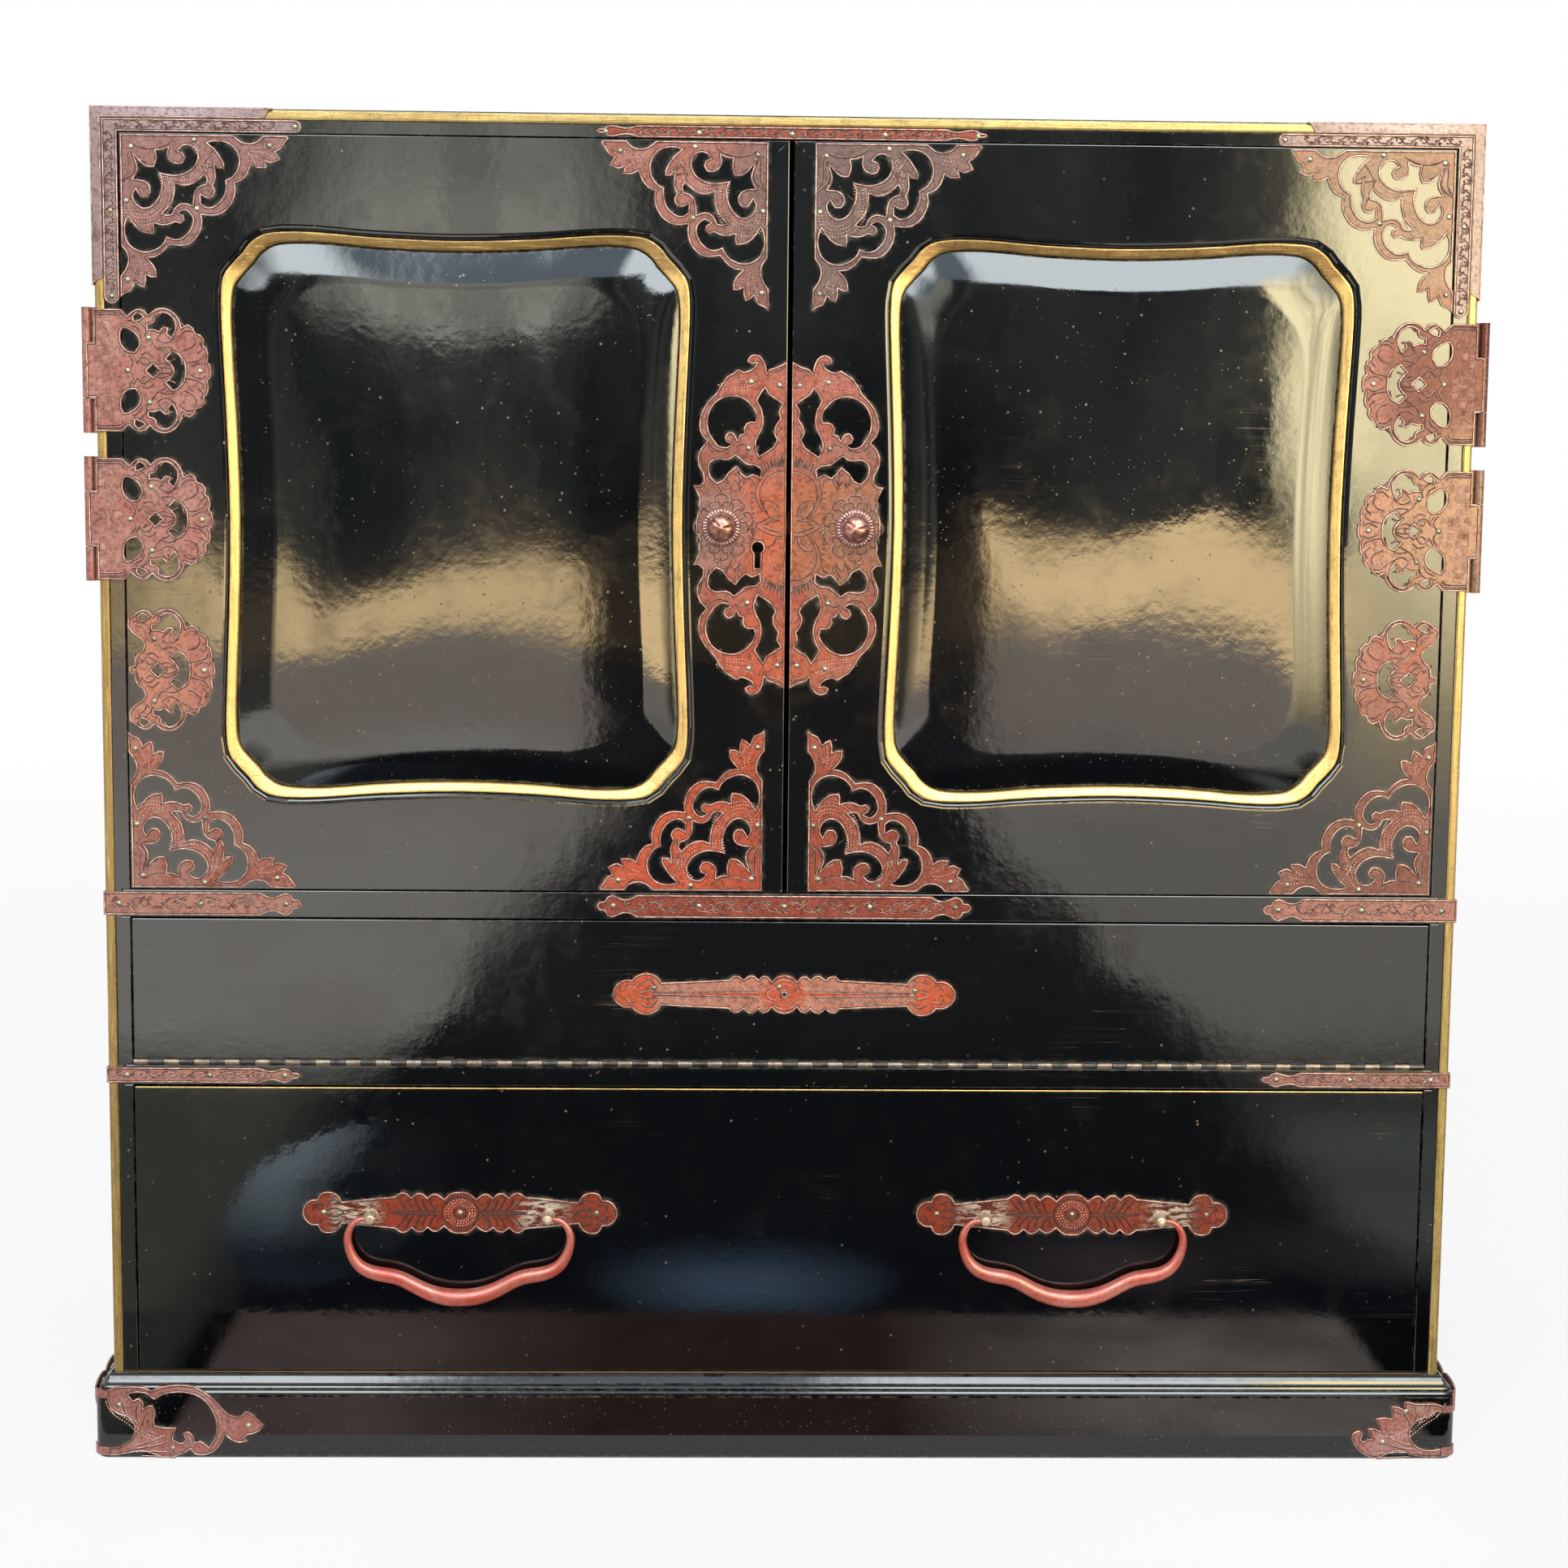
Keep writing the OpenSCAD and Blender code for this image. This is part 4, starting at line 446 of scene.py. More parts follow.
def gilding(name, gold, tints=(), painted_shade_above=None):
    """Gold lacquer with cracks that run along the bars, browner above a height."""
    f = Finish(name)
    c = colours()
    dark = linear(c.gilt_worn_and_shaded)
    x, _, z = f.axes()
    aside = f.apart(f.sum("ABSOLUTE", x, 0), PANEL_MID.x)
    upright = f.times(f.between(aside, MOULDING_HALF.x - 0.014, MOULDING_HALF.x - 0.010),
                      f.between(z, DOOR_HIGH + 0.008, DOOR_HIGH + 0.004))
    fibre = f.mix(upright, f.noise(800, 4, 0.65, (0.04, 1.0, 1.0)),
                  f.noise(800, 4, 0.65, (1.0, 1.0, 0.04)))
    worn = f.between(f.noise(75, 6, 0.72, (1.0, 1.0, 0.5)), 0.54, 0.70)
    flecks = f.between(f.noise(620, 4, 0.7), 0.60, 0.66)
    tone = f.mix(f.between(f.noise(14, 3), 0.35, 0.7), linear(gold), shade(gold, 0.92))
    for point, inner, outer, strength in tints:
        tone = f.mix(f.times(f.near(point, inner, outer), strength), tone, dark)
    # Painted shade: the moulding's top bar darker above the given height.
    if painted_shade_above:
        upper = f.between(z, painted_shade_above - 0.006, painted_shade_above)
        tone = f.mix(f.times(upper, 0.8), tone, dark)
    base = f.mix(f.times(worn, 0.5), tone, dark)
    base = f.mix(f.between(fibre, 0.55, 0.65, 0.0, 0.6), base, dark)
    base = f.mix(f.between(fibre, 0.44, 0.34, 0.0, 0.5), base, shade(gold, 1.12))
    base = f.mix(f.times(flecks, 0.5), base, linear(c.lacquer_brown))
    rough = f.between(f.noise(130, 4), 0.3, 0.7, 0.22, 0.38)
    relief = f.bump(f.noise(260, 4, 0.6), 0.00014, 0.8)
    return f.finish(Base_Color=base, Roughness=rough, Metallic=0.3,
                    Normal=f.bump(fibre, 0.0002, 0.8, under=relief))


def plain_metal(name, colour, dark, metallic, low, high):
    """Metal with a dull tarnish. Low and high are the ends of its roughness."""
    f = Finish(name)
    tarnish = f.between(f.noise(210, 5, 0.7), 0.42, 0.66)
    base = f.mix(tarnish, linear(colour), linear(dark))
    rough = f.between(f.noise(160, 4), 0.3, 0.7, low, high)
    return f.finish(Base_Color=base, Roughness=rough, Metallic=metallic,
                    Normal=f.bump(f.noise(500, 4, 0.6), 0.0001, 0.8))


def bare_wood(name, along):
    """Wood with its grain along the axis that is stretched least."""
    f = Finish(name)
    c = colours()
    fibre = f.noise(240, 5, 0.7, along)
    rings = f.between(f.noise(26, 4, 0.6, along, warp=1.2), 0.35, 0.65)
    base = f.mix(f.times(rings, 0.6), linear(c.wood), linear(c.wood_dark))
    base = f.mix(f.between(fibre, 0.5, 0.75, 0.0, 0.5), base, linear(c.wood_dark))
    stain = f.between(f.noise(5, 4), 0.5, 0.8, 0.0, 0.35)
    base = f.mix(stain, base, shade(c.wood_dark, 0.6))
    return f.finish(Base_Color=base, Roughness=f.between(fibre, 0.3, 0.7, 0.55, 0.75),
                    Normal=f.bump(fibre, 0.0003, 0.6))


FINISHES = {}


# ---------------------------------------------------------------- shaping helpers


def merged(node):
    """Copy of a solid in a bmesh, with its triangles joined to flat faces."""
    bm = bmesh.new()
    bm.from_mesh(frame["nodes"][node].data)
    bmesh.ops.remove_doubles(bm, verts=bm.verts, dist=WELD)
    bmesh.ops.dissolve_limit(bm, angle_limit=math.radians(0.5), verts=bm.verts, edges=bm.edges,
                             delimit={"NORMAL"})
    return bm


def body_of(node):
    return frame["nodes"][node]["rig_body"]


def round_edges(bm, edges, size, segments=2):
    return bmesh.ops.bevel(bm, geom=edges, offset=size, segments=segments, profile=0.5,
                           affect="EDGES", material=-1, clamp_overlap=True)


def new_mesh(bm, name, materials):
    mesh = bpy.data.meshes.new(name)
    bm.to_mesh(mesh)
    bm.free()
    for material in materials:
        mesh.materials.append(material)
    return mesh


def place_piece(bm, name, finishes, body, slot, replaces=(), sharp=None):
    """Makes the finished object of a piece. Sharp is the angle past which an edge stays crisp."""
    mesh = new_mesh(bm, name, [FINISHES[item] for item in finishes])
    mesh.polygons.foreach_set("use_smooth", [sharp is not None] * len(mesh.polygons))
    if sharp is not None:
        mesh.set_sharp_from_angle(angle=math.radians(sharp))
    piece = bpy.data.objects.new(name, mesh)
    bpy.context.scene.collection.objects.link(piece)
    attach(piece, body)
    if replaces:
        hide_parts(*replaces)
    return piece


def facing(bm, direction):
    """Flat faces that lie on the outermost plane in a direction."""
    plane = max(v.co.dot(direction) for v in bm.verts)
    return [face for face in bm.faces
            if all(v.co.dot(direction) > plane - 0.00002 for v in face.verts)]


def sheet_rims(bm, direction, inset):
    """Closed lines that follow the outline of a flat area, moved inwards."""
    faces = facing(bm, direction)
    area = set(faces)
    after = {}
    for face in faces:
        for loop in face.loops:
            if all(other not in area for other in loop.edge.link_faces if other is not face):
                after[loop.vert] = loop.link_loop_next.vert
    lines = []
    while after:
        start = next(iter(after))
        ring = [start]
        while after.get(ring[-1]) is not None:
            ring.append(after.pop(ring[-1]))
        ring.pop()
        if len(ring) < 3:
            continue
        line = []
        for i, v in enumerate(ring):
            back = (v.co - ring[i - 1].co).normalized()
            ahead = (ring[(i + 1) % len(ring)].co - v.co).normalized()
            inward = direction.cross(back + ahead)
            if inward.length < 0.05:
                continue
            inward.normalize()
            reach = min(1.6, 1 / max(0.3, inward.dot(direction.cross(back))))
            line.append(v.co + inward * inset * reach)
        lines.append(line)
    return lines


def pierced_sheet(node, name, look, directions=(AHEAD,), line=True):
    """Pierced sheet with a worn raised rim and a line engraved along it."""
    s = sizes()
    bm = merged(node)
    work = Engraving()
    for direction in directions:
        work.rims += sheet_rims(bm, direction, s.rim * 0.8)
        if line:
            work.grooves += sheet_rims(bm, direction, s.rim + s.line_in)
    work.make(name + "_rim", body_of(node))
    place_piece(bm, name, [look], body_of(node), "lacquered_iron", [node])


# ---------------------------------------------------------------- outlines


def hermite(a, b, m, n, t):
    return (a * (2 * t**3 - 3 * t**2 + 1) + m * (t**3 - 2 * t**2 + t)
            + b * (3 * t**2 - 2 * t**3) + n * (t**3 - t**2))


def smooth_line(points, steps=4, closed=False):
    """Smooth curve through points. A third value on a point makes it a corner."""
    count = len(points)
    flat = [Vector((p[0], p[1])) for p in points]
    corner = [len(p) > 2 for p in points]
    if not closed:
        corner[0] = corner[-1] = True
    out = []
    for i in range(count if closed else count - 1):
        j = (i + 1) % count
        a, b = flat[i], flat[j]
        m = b - a if corner[i] else (b - flat[i - 1]) / 2
        n = b - a if corner[j] else (flat[(j + 1) % count] - a) / 2
        out += [hermite(a, b, m, n, k / steps) for k in range(steps)]
    return out if closed else out + [flat[-1]]


def lobe_outline(w, h, soften=0):
    """Lobed outline of the door panels from its half width and half height, in metres."""
    w, h = w / MM, h / MM
    quarter = [
        (w - 4.2, 0), (w - 2.8, h * 0.34), (w - 0.4, h - 62), (w - 0.2, h - 40), (w - 2, h - 28),
        (w - 7.5, h - 20.3), (w - 14, h - 13.5, 1), (w - 18.8, h - 7.3), (w - 27, h - 1.9),
        (w - 40, h), (w - 62, h - 0.3), (w * 0.34, h - 3), (0, h - 4.6)]
    half = quarter + [(-p[0], *p[1:]) for p in quarter[-2::-1]]
    whole = half + [(p[0], -p[1], *p[2:]) for p in half[-2:0:-1]]
    line = smooth_line(whole, 3, closed=True)
    for _ in range(soften):
        line = [(line[i - 1] + line[i] * 2 + line[(i + 1) % len(line)]) / 4
                for i in range(len(line))]
    return [(p.x * MM, p.y * MM) for p in line]


def add_ring(bm, line, depth, side):
    """Closed ring of edges round a door's panel, at a depth behind the case's front."""
    verts = [bm.verts.new((side * (PANEL_MID.x + x), FRONT + depth, PANEL_MID.z + z))
             for x, z in line]
    return [bm.edges.new((verts[i - 1], verts[i])) for i in range(len(verts))]


def join_rings(bm, rings):
    for first, second in zip(rings, rings[1:]):
        bmesh.ops.bridge_loops(bm, edges=first + second)


# ---------------------------------------------------------------- engraving

# Lines on a door's corner mount, from its corner point, in mm: along the rail, along the stile.
CORNER_ROWS = (
    (((4.6, 43.4), (5.3, 50), (10, 54.6), (17.3, 55), (23.9, 52), (28.6, 46.7), (30.5, 39.4),
      (29.9, 31.5), (28.8, 25.5)), (-3.4, -1.2, 1.2, 3.4)),
    (((31.9, 28.8), (40.5, 29.5), (47.1, 27.5), (52.5, 22.2), (53.3, 17), (51.5, 11.6),
      (47, 5.5)), (-2.3, 0, 2.3)),
    (((56.4, 23.5), (57.8, 30.2)), (0,)), (((56.4, 18.3), (62.4, 20.2)), (0,)),
    (((55.1, 14.3), (59.1, 12.3)), (0,)),
    (((7.3, 97.6), (8.6, 91), (11.3, 83.1)), (0,)),
    (((12.6, 95), (13.3, 88.4), (12.6, 81.1)), (0,)),
    (((18.6, 91), (16.6, 85.7), (13.9, 80.4)), (0,)),
    (((81.7, 12.3), (88.3, 14.9), (91, 18.3)), (0,)),
    (((83, 10.3), (91, 11), (97.6, 14.3)), (0,)),
    (((84.3, 8.3), (92.3, 7), (100.3, 7.7), (104.2, 3.7)), (0,)),
)
CORNER_LINES = (
    ((52.5, 19.6), (57.8, 34.1)), ((52.5, 19.6), (64.4, 21.6)), ((52.5, 19.6), (59.1, 9)),
    ((1.3, 30.2), (5.3, 23.5), (5.3, 14.3), (6, 7.7)),
    ((0.7, 31.5), (8.6, 24.9), (9.3, 18.3), (6, 9)),
    ((5.3, 8.3), (10.6, 14.3), (17.9, 18.3)),
    ((8.6, 5.7), (13.9, 8.3), (21.9, 9), (29.9, 6.3), (33.9, 3.7)),
)

# Lines on the right half of the lock plate, in mm: from the doors' meeting line, from its middle.
# Those of the upper half are repeated below.
LOCK_LINES = (
    ((3.7, 5.9), (8.9, 5.6), (15.4, 3.3), (20.7, 0)),
    ((5, 3.3), (10.9, 2.2), (15.7, 0)),
    ((6.3, 6.5), (6.9, 11.1), (10.2, 14.7), (15.2, 16)),
    ((15.2, 16), (15.7, 11.7), (12.8, 7.2), (8.2, 4.6)),
    ((8.2, 7.8), (9.5, 11.1), (12.8, 13)),
    ((1.9, 38.2), (8.9, 37.1), (15.4, 33.2), (19.4, 27.3), (20.7, 20.8), (19.4, 15), (16.1, 9.1)),
    ((1.9, 34.5), (8.2, 33.5), (14.1, 29.9), (17.4, 24.1), (17.8, 18.2), (15.7, 12.4),
     (12.8, 8.5)),
    ((3, 38), (3, 45)), ((5, 37.5), (5.3, 44.3)), ((7, 37.1), (7.6, 43.6)),
    ((8.9, 36.5), (9.9, 43)), ((11, 35.8), (12.2, 41.7)), ((13, 34.8), (14.5, 40.7)),
    ((14.8, 33.8), (16.4, 39.7)), ((4, 38.2), (4.1, 42)), ((6, 37.8), (6.4, 41.5)),
    ((8, 37.2), (8.8, 40.5)), ((10, 36.4), (10.9, 39.8)), ((12, 35.4), (13.2, 38.5)),
    ((31.8, 22.8), (32.5, 29), (33.1, 36)), ((32.2, 27), (29.8, 31)), ((32.5, 30), (35, 33)),
    ((32.1, 25), (34.8, 28.5)), ((32, 24), (29, 27)),
    ((36.4, 21.8), (38.5, 26), (40.3, 31)), ((37.4, 24), (36.4, 27.5)), ((38, 25), (41, 27.2)),
    ((43, 20.5), (45.5, 24), (47, 27.5)), ((44, 22), (43.4, 25)), ((44.6, 22.6), (47.5, 23.8)),
    ((22.5, 25), (23.5, 28.3), (27, 29.5), (29, 26.5)),
    ((21.6, 8), (24, 7)), ((21.8, 11), (24.2, 10.6)), ((21.6, 14), (24.4, 14)),
    ((21.5, 17), (24.6, 17.6)), ((21, 20), (24.3, 21.4)), ((21.4, 5), (23.8, 3.8)),
    ((21, 2.4), (23.6, 1)), ((17.8, 40.5), (20.6, 46), (19.6, 51)),
    ((26.5, 49.5), (30, 51.5), (33.5, 49.6)), ((38, 48.2), (44, 46.8), (50, 49.2), (52.8, 54)),
    ((53, 33), (56, 38), (56.6, 43.5)), ((51, 28.5), (52.4, 31.5)),
    ((2, 101), (6, 98.5), (11.6, 97)), ((2, 86.5), (6.2, 88)), ((4.4, 62), (7, 58.5), (6.2, 53)),
)
LOCK_ROWS = (
    (((19, 94.2), (24.6, 92), (33, 91), (40.2, 89.4), (45.5, 87.2)), (0, 1.7)),
    (((19.6, 90.6), (26, 88.6), (34, 87.6), (43, 86.4)), (0,)),
    (((21.4, 87.6), (28, 86), (36, 85.6), (43, 85)), (0,)),
)

# Lines on a hinge's flower, in mm: inwards from the case's side, up from the hinge's middle.
# They are repeated below.
FLOWER_LINES = (
    ((56.8, 12.1), (62, 14.2), (65, 18.2), (63.9, 22)),
    ((54.6, 21), (58.6, 24.6), (63, 24)), ((58.4, 4.4), (64.1, 5.4), (68.8, 7.6), (70.4, 11)),
    ((61.2, 1.9), (66.6, 4.4), (70.6, 2.8)), ((66, 10.5), (69.2, 13.8), (67.6, 17.8)),
    ((38.4, 2.7), (43.1, 4.3), (47.8, 2.2), (50.5, 0)), ((40, 1), (45.2, 1.4), (49.4, 0)),
    ((36.3, 18.5), (38.9, 14.2), (44.2, 11), (47.3, 9)),
    ((39.6, 19.6), (44, 16.8), (48, 17.4), (52, 20)),
    ((41, 20.5), (45.2, 24.6), (49.4, 26.2)), ((41.4, 13.2), (46, 14), (50, 13.6)),
    ((22.1, 30.9), (28.4, 29.9), (32.6, 25.7), (32.1, 21.5)),
    ((24, 28), (28, 26), (30, 22)), ((27.5, 4), (30.5, 7.6), (34, 6.4), (36.4, 2.4)),
    ((29.6, 5.4), (32, 3), (34.4, 4)), ((30.5, 9.4), (34, 10.6), (37.8, 7.6)),
    ((22, 9.5), (24.4, 5), (22.6, 1)), ((24.4, 9), (26.8, 5)),
    ((40.6, 33.2), (45.2, 37.3), (50.8, 34.6), (53.6, 29)),
    ((26, 36.6), (30.4, 37), (33.4, 34.6)), ((55, 30.5), (59.5, 27), (64, 27)),
    ((50.5, 12.6), (54.4, 9.4), (56, 4)), ((44, 8.4), (47.6, 6), (51.6, 7.6)),
)

LEAF_LINES = (((1.2, 35.8), (15.4, 35.8), (18.6, 32.8)), ((1.2, 34.2), (14.8, 34.2), (17.4, 31.4)))

# Lines on the plinth's corner mounts, in mm: inwards from the middle of the chest's width, up.
PLINTH_LINES = (
    ((443, 39), (441, 34), (437, 29)), ((432, 38), (430, 31), (426, 25)),
    ((422, 36), (423, 30), (421, 24)), ((415, 31), (418, 26), (420, 20)),
    ((424, 9), (415, 11.5), (404, 16)), ((424, 7), (413, 8.5), (402, 12)),
    ((424, 4.5), (412, 5), (400, 4)), ((420, 2), (410, 1.5), (398, 1)),
)
PLINTH_ROWS = ((((436, 31), (427, 25), (419, 18), (408, 13)), (-2.4, 0, 2.4)),)

# Lines on a quarter of the flap's plate and of a handle's plate, in mm from the middle.
PLATE_END = (((82, 0), (88, 2.6), (94, 1.2)), ((84, 5), (88.5, 8.4), (93.5, 6.4)),
             ((97, 4.6), (101.5, 5.2), (104, 2)))
HANDLE_FOLDS = (((16, 1), (19, 5), (20.4, 10)), ((25, 0.9), (28, 5), (30.2, 10.4)),
                ((34, 0.8), (37.2, 4.6), (41, 9.4)), ((21, 1), (24, 5.2), (25, 9)),
                ((30, 0.9), (33, 4.6), (35.4, 9)))


def vine(start, end, high, half):
    """Scrolling vine along a strap: arches that end in a curl, with a small leaf at each."""
    count = max(2, round((end - start) / half))
    step = (end - start) / count
    lines = []
    for k in range(count):
        s = high * (1 if k % 2 else -1)
        x = start + k * step
        for shape in (((0, 0), (0.2, 0.78), (0.5, 1), (0.82, 0.72), (0.97, 0.1), (0.86, -0.45),
                       (0.7, -0.2)),
                      ((0.08, -0.1), (-0.02, -0.6), (0.06, -1.1), (0.2, -1.25)),
                      ((0.02, -0.15), (0.12, -0.55), (0.3, -0.75)),
                      ((0.5, 1), (0.56, 0.55), (0.46, 0.3)),
                      ((0.6, 0.95), (0.72, 1.2), (0.84, 1.3))):
            lines.append([(x + a * step, s * b) for a, b in shape])
    return lines


def spaced(line, step):
    """Points at an even distance along a line."""
    out, left = [line[0]], step
    for a, b in zip(line, line[1:]):
        reach = (b - a).length
        while reach >= left:
            out.append(a + (b - a) * (left / reach))
            a, reach, left = out[-1], reach - left, step
        left -= reach
    return out


def beside(line, offset):
    """A line at a distance to the left of another."""
    out = []
    for i, p in enumerate(line):
        way = line[min(i + 1, len(line) - 1)] - line[max(i - 1, 0)]
        out.append(p + Vector((-way.y, way.x)).normalized() * offset)
    return out


class Engraving:
    """Rims, ridges and punched dots that lie on a mount's face."""

    def __init__(self):
        self.rims = []
        self.grooves = []
        self.ridges = []
        self.cuts = []
        self.dots = []

    @staticmethod
    def on_face(face, x=0.0, z=0.0, across=1.0, up=1.0):
        """Puts a drawing's points, in mm, on a plane: from x and z, turned or stretched."""
        def place(p):
            return x + across * p[0] * MM, face, z + up * p[1] * MM

        return place

    def add_lines(self, lines, place, cut=True):
        """A pale ridge for each line, with a dark cut beside it."""
        for line in lines:
            ridge = smooth_line(line, 4 if len(line) > 2 else 1)
            self.ridges.append([place(p) for p in ridge])
            if cut:
                self.cuts.append([place(p) for p in beside(ridge, sizes().ridge / MM * 1.8)])

    def add_rows(self, rows, place):
        step = sizes().dot_step / MM
        for line, offsets in rows:
            for offset in offsets:
                row = spaced(beside(smooth_line(line, 4), offset), step)
                self.dots += [place(p) for p in row]

    @staticmethod
    def add_tubes(bm, name, lines, radius, closed, rounding):
        """Adds a round wire along each line to a bmesh."""
        curve = bpy.data.curves.new(name, "CURVE")
        curve.dimensions = "3D"
        curve.bevel_depth = radius
        curve.bevel_resolution = rounding
        curve.use_fill_caps = True
        for line in lines:
            spline = curve.splines.new("POLY")
            spline.use_cyclic_u = closed
            spline.points.add(len(line) - 1)
            for point, where in zip(spline.points, line):
                point.co = (*where, 1)
        drawn = bpy.data.objects.new(name, curve)
        bpy.context.scene.collection.objects.link(drawn)
        mesh = bpy.data.meshes.new_from_object(
            drawn.evaluated_get(bpy.context.evaluated_depsgraph_get()))
        bpy.data.objects.remove(drawn)
        bpy.data.curves.remove(curve)
        bm.from_mesh(mesh)
        bpy.data.meshes.remove(mesh)

    def make(self, name, body):
        s = sizes()
        bm = bmesh.new()
        for lines, radius, closed, rounding, look in (
                (self.rims, s.rim / 2, True, 1, 0), (self.grooves, s.line / 2, True, 0, 1),
                (self.ridges, s.ridge, False, 0, 0), (self.cuts, s.ridge * 0.8, False, 0, 1)):
            if not lines:
                continue
            old = len(bm.faces)
            self.add_tubes(bm, name, lines, radius, closed, rounding)
            bm.faces.ensure_lookup_table()
            for face in bm.faces[old:]:
                face.material_index = look
        turn = Matrix.Rotation(math.pi / 2, 4, "X")
        for where in self.dots:
            bmesh.ops.create_cone(
                bm, cap_ends=True, segments=6, radius1=s.dot_r, radius2=s.dot_r * 0.45,
                depth=s.dot_r * 0.9, matrix=Matrix.Translation(where) @ turn)
        bmesh.ops.recalc_face_normals(bm, faces=bm.faces)
        place_piece(bm, name, ["rubbed_rim", "dark_cut"], body, "worn_iron", sharp=80)


# ---------------------------------------------------------------- pieces


class CHEST_OT_boards(bpy.types.Operator):
    """Lacquered boards of case, rails, flap, drawer front and plinth, with softened edges"""

    bl_idname = "chest.boards"
    bl_label = "Lacquered boards"

    BOARDS = (
        "case_left_side", "case_right_side", "case_top", "upper_rail_board", "lower_rail_board",
        "flap_board", "drawer_front", "plinth_front", "plinth_sides_and_back",
    )
    SHORTEST = 0.004

    def execute(self, context):
        for node in self.BOARDS:
            bm = merged(node)
            hard = [e for e in bm.edges if e.is_manifold and e.is_convex
                    and e.calc_face_angle(0) > CRISP and e.calc_length() > self.SHORTEST]
            round_edges(bm, hard, sizes().edge)
            place_piece(bm, node + "_lacquered", ["black_lacquer"], body_of(node),
                        "black_lacquer", [node])
        return {"FINISHED"}


class CHEST_OT_door_frames(bpy.types.Operator):
    """Stiles and rails of the doors, with a rounded lip round the panels"""

    bl_idname = "chest.door_frames"
    bl_label = "Door frames"

    LIP_DEPTH = 0.42
    CLOSE = 0.0001

    def execute(self, context):
        for hand in ("left", "right"):
            for part in ("_door_stiles", "_door_rails"):
                self.frame_part(hand + part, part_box(hand + "_door_stiles"))
        return {"FINISHED"}

    def frame_part(self, node, door):
        s = sizes()
        bm = merged(node)
        low, high = door
        lip, rim = [], []
        for edge in bm.edges:
            if not edge.is_manifold or abs(edge.calc_face_angle(0)) < CRISP:
                continue
            if any(abs(v.co.y - DOOR_FACE) > self.CLOSE / 10 for v in edge.verts):
                continue
            mid = (edge.verts[0].co + edge.verts[1].co) / 2
            if min(mid.x - low.x, high.x - mid.x, mid.z - low.z, high.z - mid.z) < self.CLOSE:
                rim.append(edge)
            elif self.is_lip(mid):
                lip.append(edge)
        for v in round_edges(bm, lip, s.lip, segments=5)["verts"]:
            v.co.y = DOOR_FACE + (v.co.y - DOOR_FACE) * self.LIP_DEPTH
        round_edges(bm, [e for e in rim if e.is_valid], s.edge)
        place_piece(bm, node + "_lacquered", ["black_lacquer"], body_of(node), "black_lacquer",
                    [node])

    @staticmethod
    def is_lip(point):
        """True on the panel opening, false on the joints between stiles and rails."""
        slack = 0.0012
        return (abs(abs(point.x) - PANEL_MID.x) < MOULDING_HALF.x + slack
                and abs(point.z - PANEL_MID.z) < MOULDING_HALF.z + slack)


class CHEST_OT_door_panels(bpy.types.Operator):
    """Raised door panels with pillowed edges"""

    bl_idname = "chest.door_panels"
    bl_label = "Door panels"

    TONGUE = 0.0059
    TONGUE_THICK = 0.0058
    FIELD = 0.0068
    DROP = 0.0046
    STEPS = 12
    SOFTEST = 14

    def execute(self, context):
        for side, hand in ((-1, "left"), (1, "right")):
            node = hand + "_door_panel"
            top, back = (corner.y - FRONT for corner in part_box(node))
            shoulder = back - self.TONGUE_THICK
            levels = [(-self.TONGUE, back, 0), (-self.TONGUE, shoulder, 0),
                      (self.FIELD, shoulder, 0), (self.FIELD, top + self.DROP, 0)]
            for k in range(1, self.STEPS + 1):
                t = k / self.STEPS
                levels.append((self.FIELD + sizes().pillow * t,
                               top + self.DROP * (1 - t) ** 1.6, int(self.SOFTEST * t * t)))
            bm = bmesh.new()
            rings = [add_ring(bm, lobe_outline(MOULDING_HALF.x - inset, MOULDING_HALF.z - inset,
                                               soften), depth, side)
                     for inset, depth, soften in levels]
            join_rings(bm, rings)
            bmesh.ops.contextual_create(bm, geom=rings[0])
            bmesh.ops.contextual_create(bm, geom=rings[-1])
            bmesh.ops.recalc_face_normals(bm, faces=bm.faces)
            place_piece(bm, node + "_pillowed", ["black_lacquer"], body_of(node),
                        "black_lacquer", [node], sharp=30)
        return {"FINISHED"}


class CHEST_OT_mouldings(bpy.types.Operator):
    """Gilt mouldings round the door panels, and the thin gold line on the drawer"""

    bl_idname = "chest.mouldings"
    bl_label = "Gilt mouldings"

    # Distance inwards from the moulding's outline and depth behind the front, in mm.
    PROFILE = (
        (0.0, 10.4), (0.0, 1.7), (0.2, 1.2), (0.6, 0.95), (1.1, 0.97), (1.5, 1.1),
        (2.9, 1.65), (4.3, 2.2), (5.2, 2.6), (5.8, 3.0), (6.15, 3.8), (6.15, 10.4))

    def execute(self, context):
        w, h = MOULDING_HALF.x, MOULDING_HALF.z
        for side, hand in ((-1, "left"), (1, "right")):
            node = hand + "_gilt_moulding"
            bm = bmesh.new()
            rings = [add_ring(bm, lobe_outline(w - d * MM, h - d * MM), y * MM, side)
                     for d, y in self.PROFILE]
            join_rings(bm, rings + rings[:1])
            bmesh.ops.recalc_face_normals(bm, faces=bm.faces)
            place_piece(bm, node + "_profiled", ["gilding"], body_of(node), "gold_lacquer",
                        [node], sharp=40)
        low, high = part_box("drawer_front")
        z = high.z - 0.4 * MM
        bm = bmesh.new()
        Engraving.add_tubes(bm, "drawer_edge", [[(low.x + MM, low.y, z),
                                                 (high.x - 0.5 * MM, low.y, z)]],
                            0.42 * MM, False, 1)
        bmesh.ops.recalc_face_normals(bm, faces=bm.faces)
        place_piece(bm, "drawer_gold_line", ["gilding"], "drawer", "gold_lacquer", sharp=60)
        return {"FINISHED"}


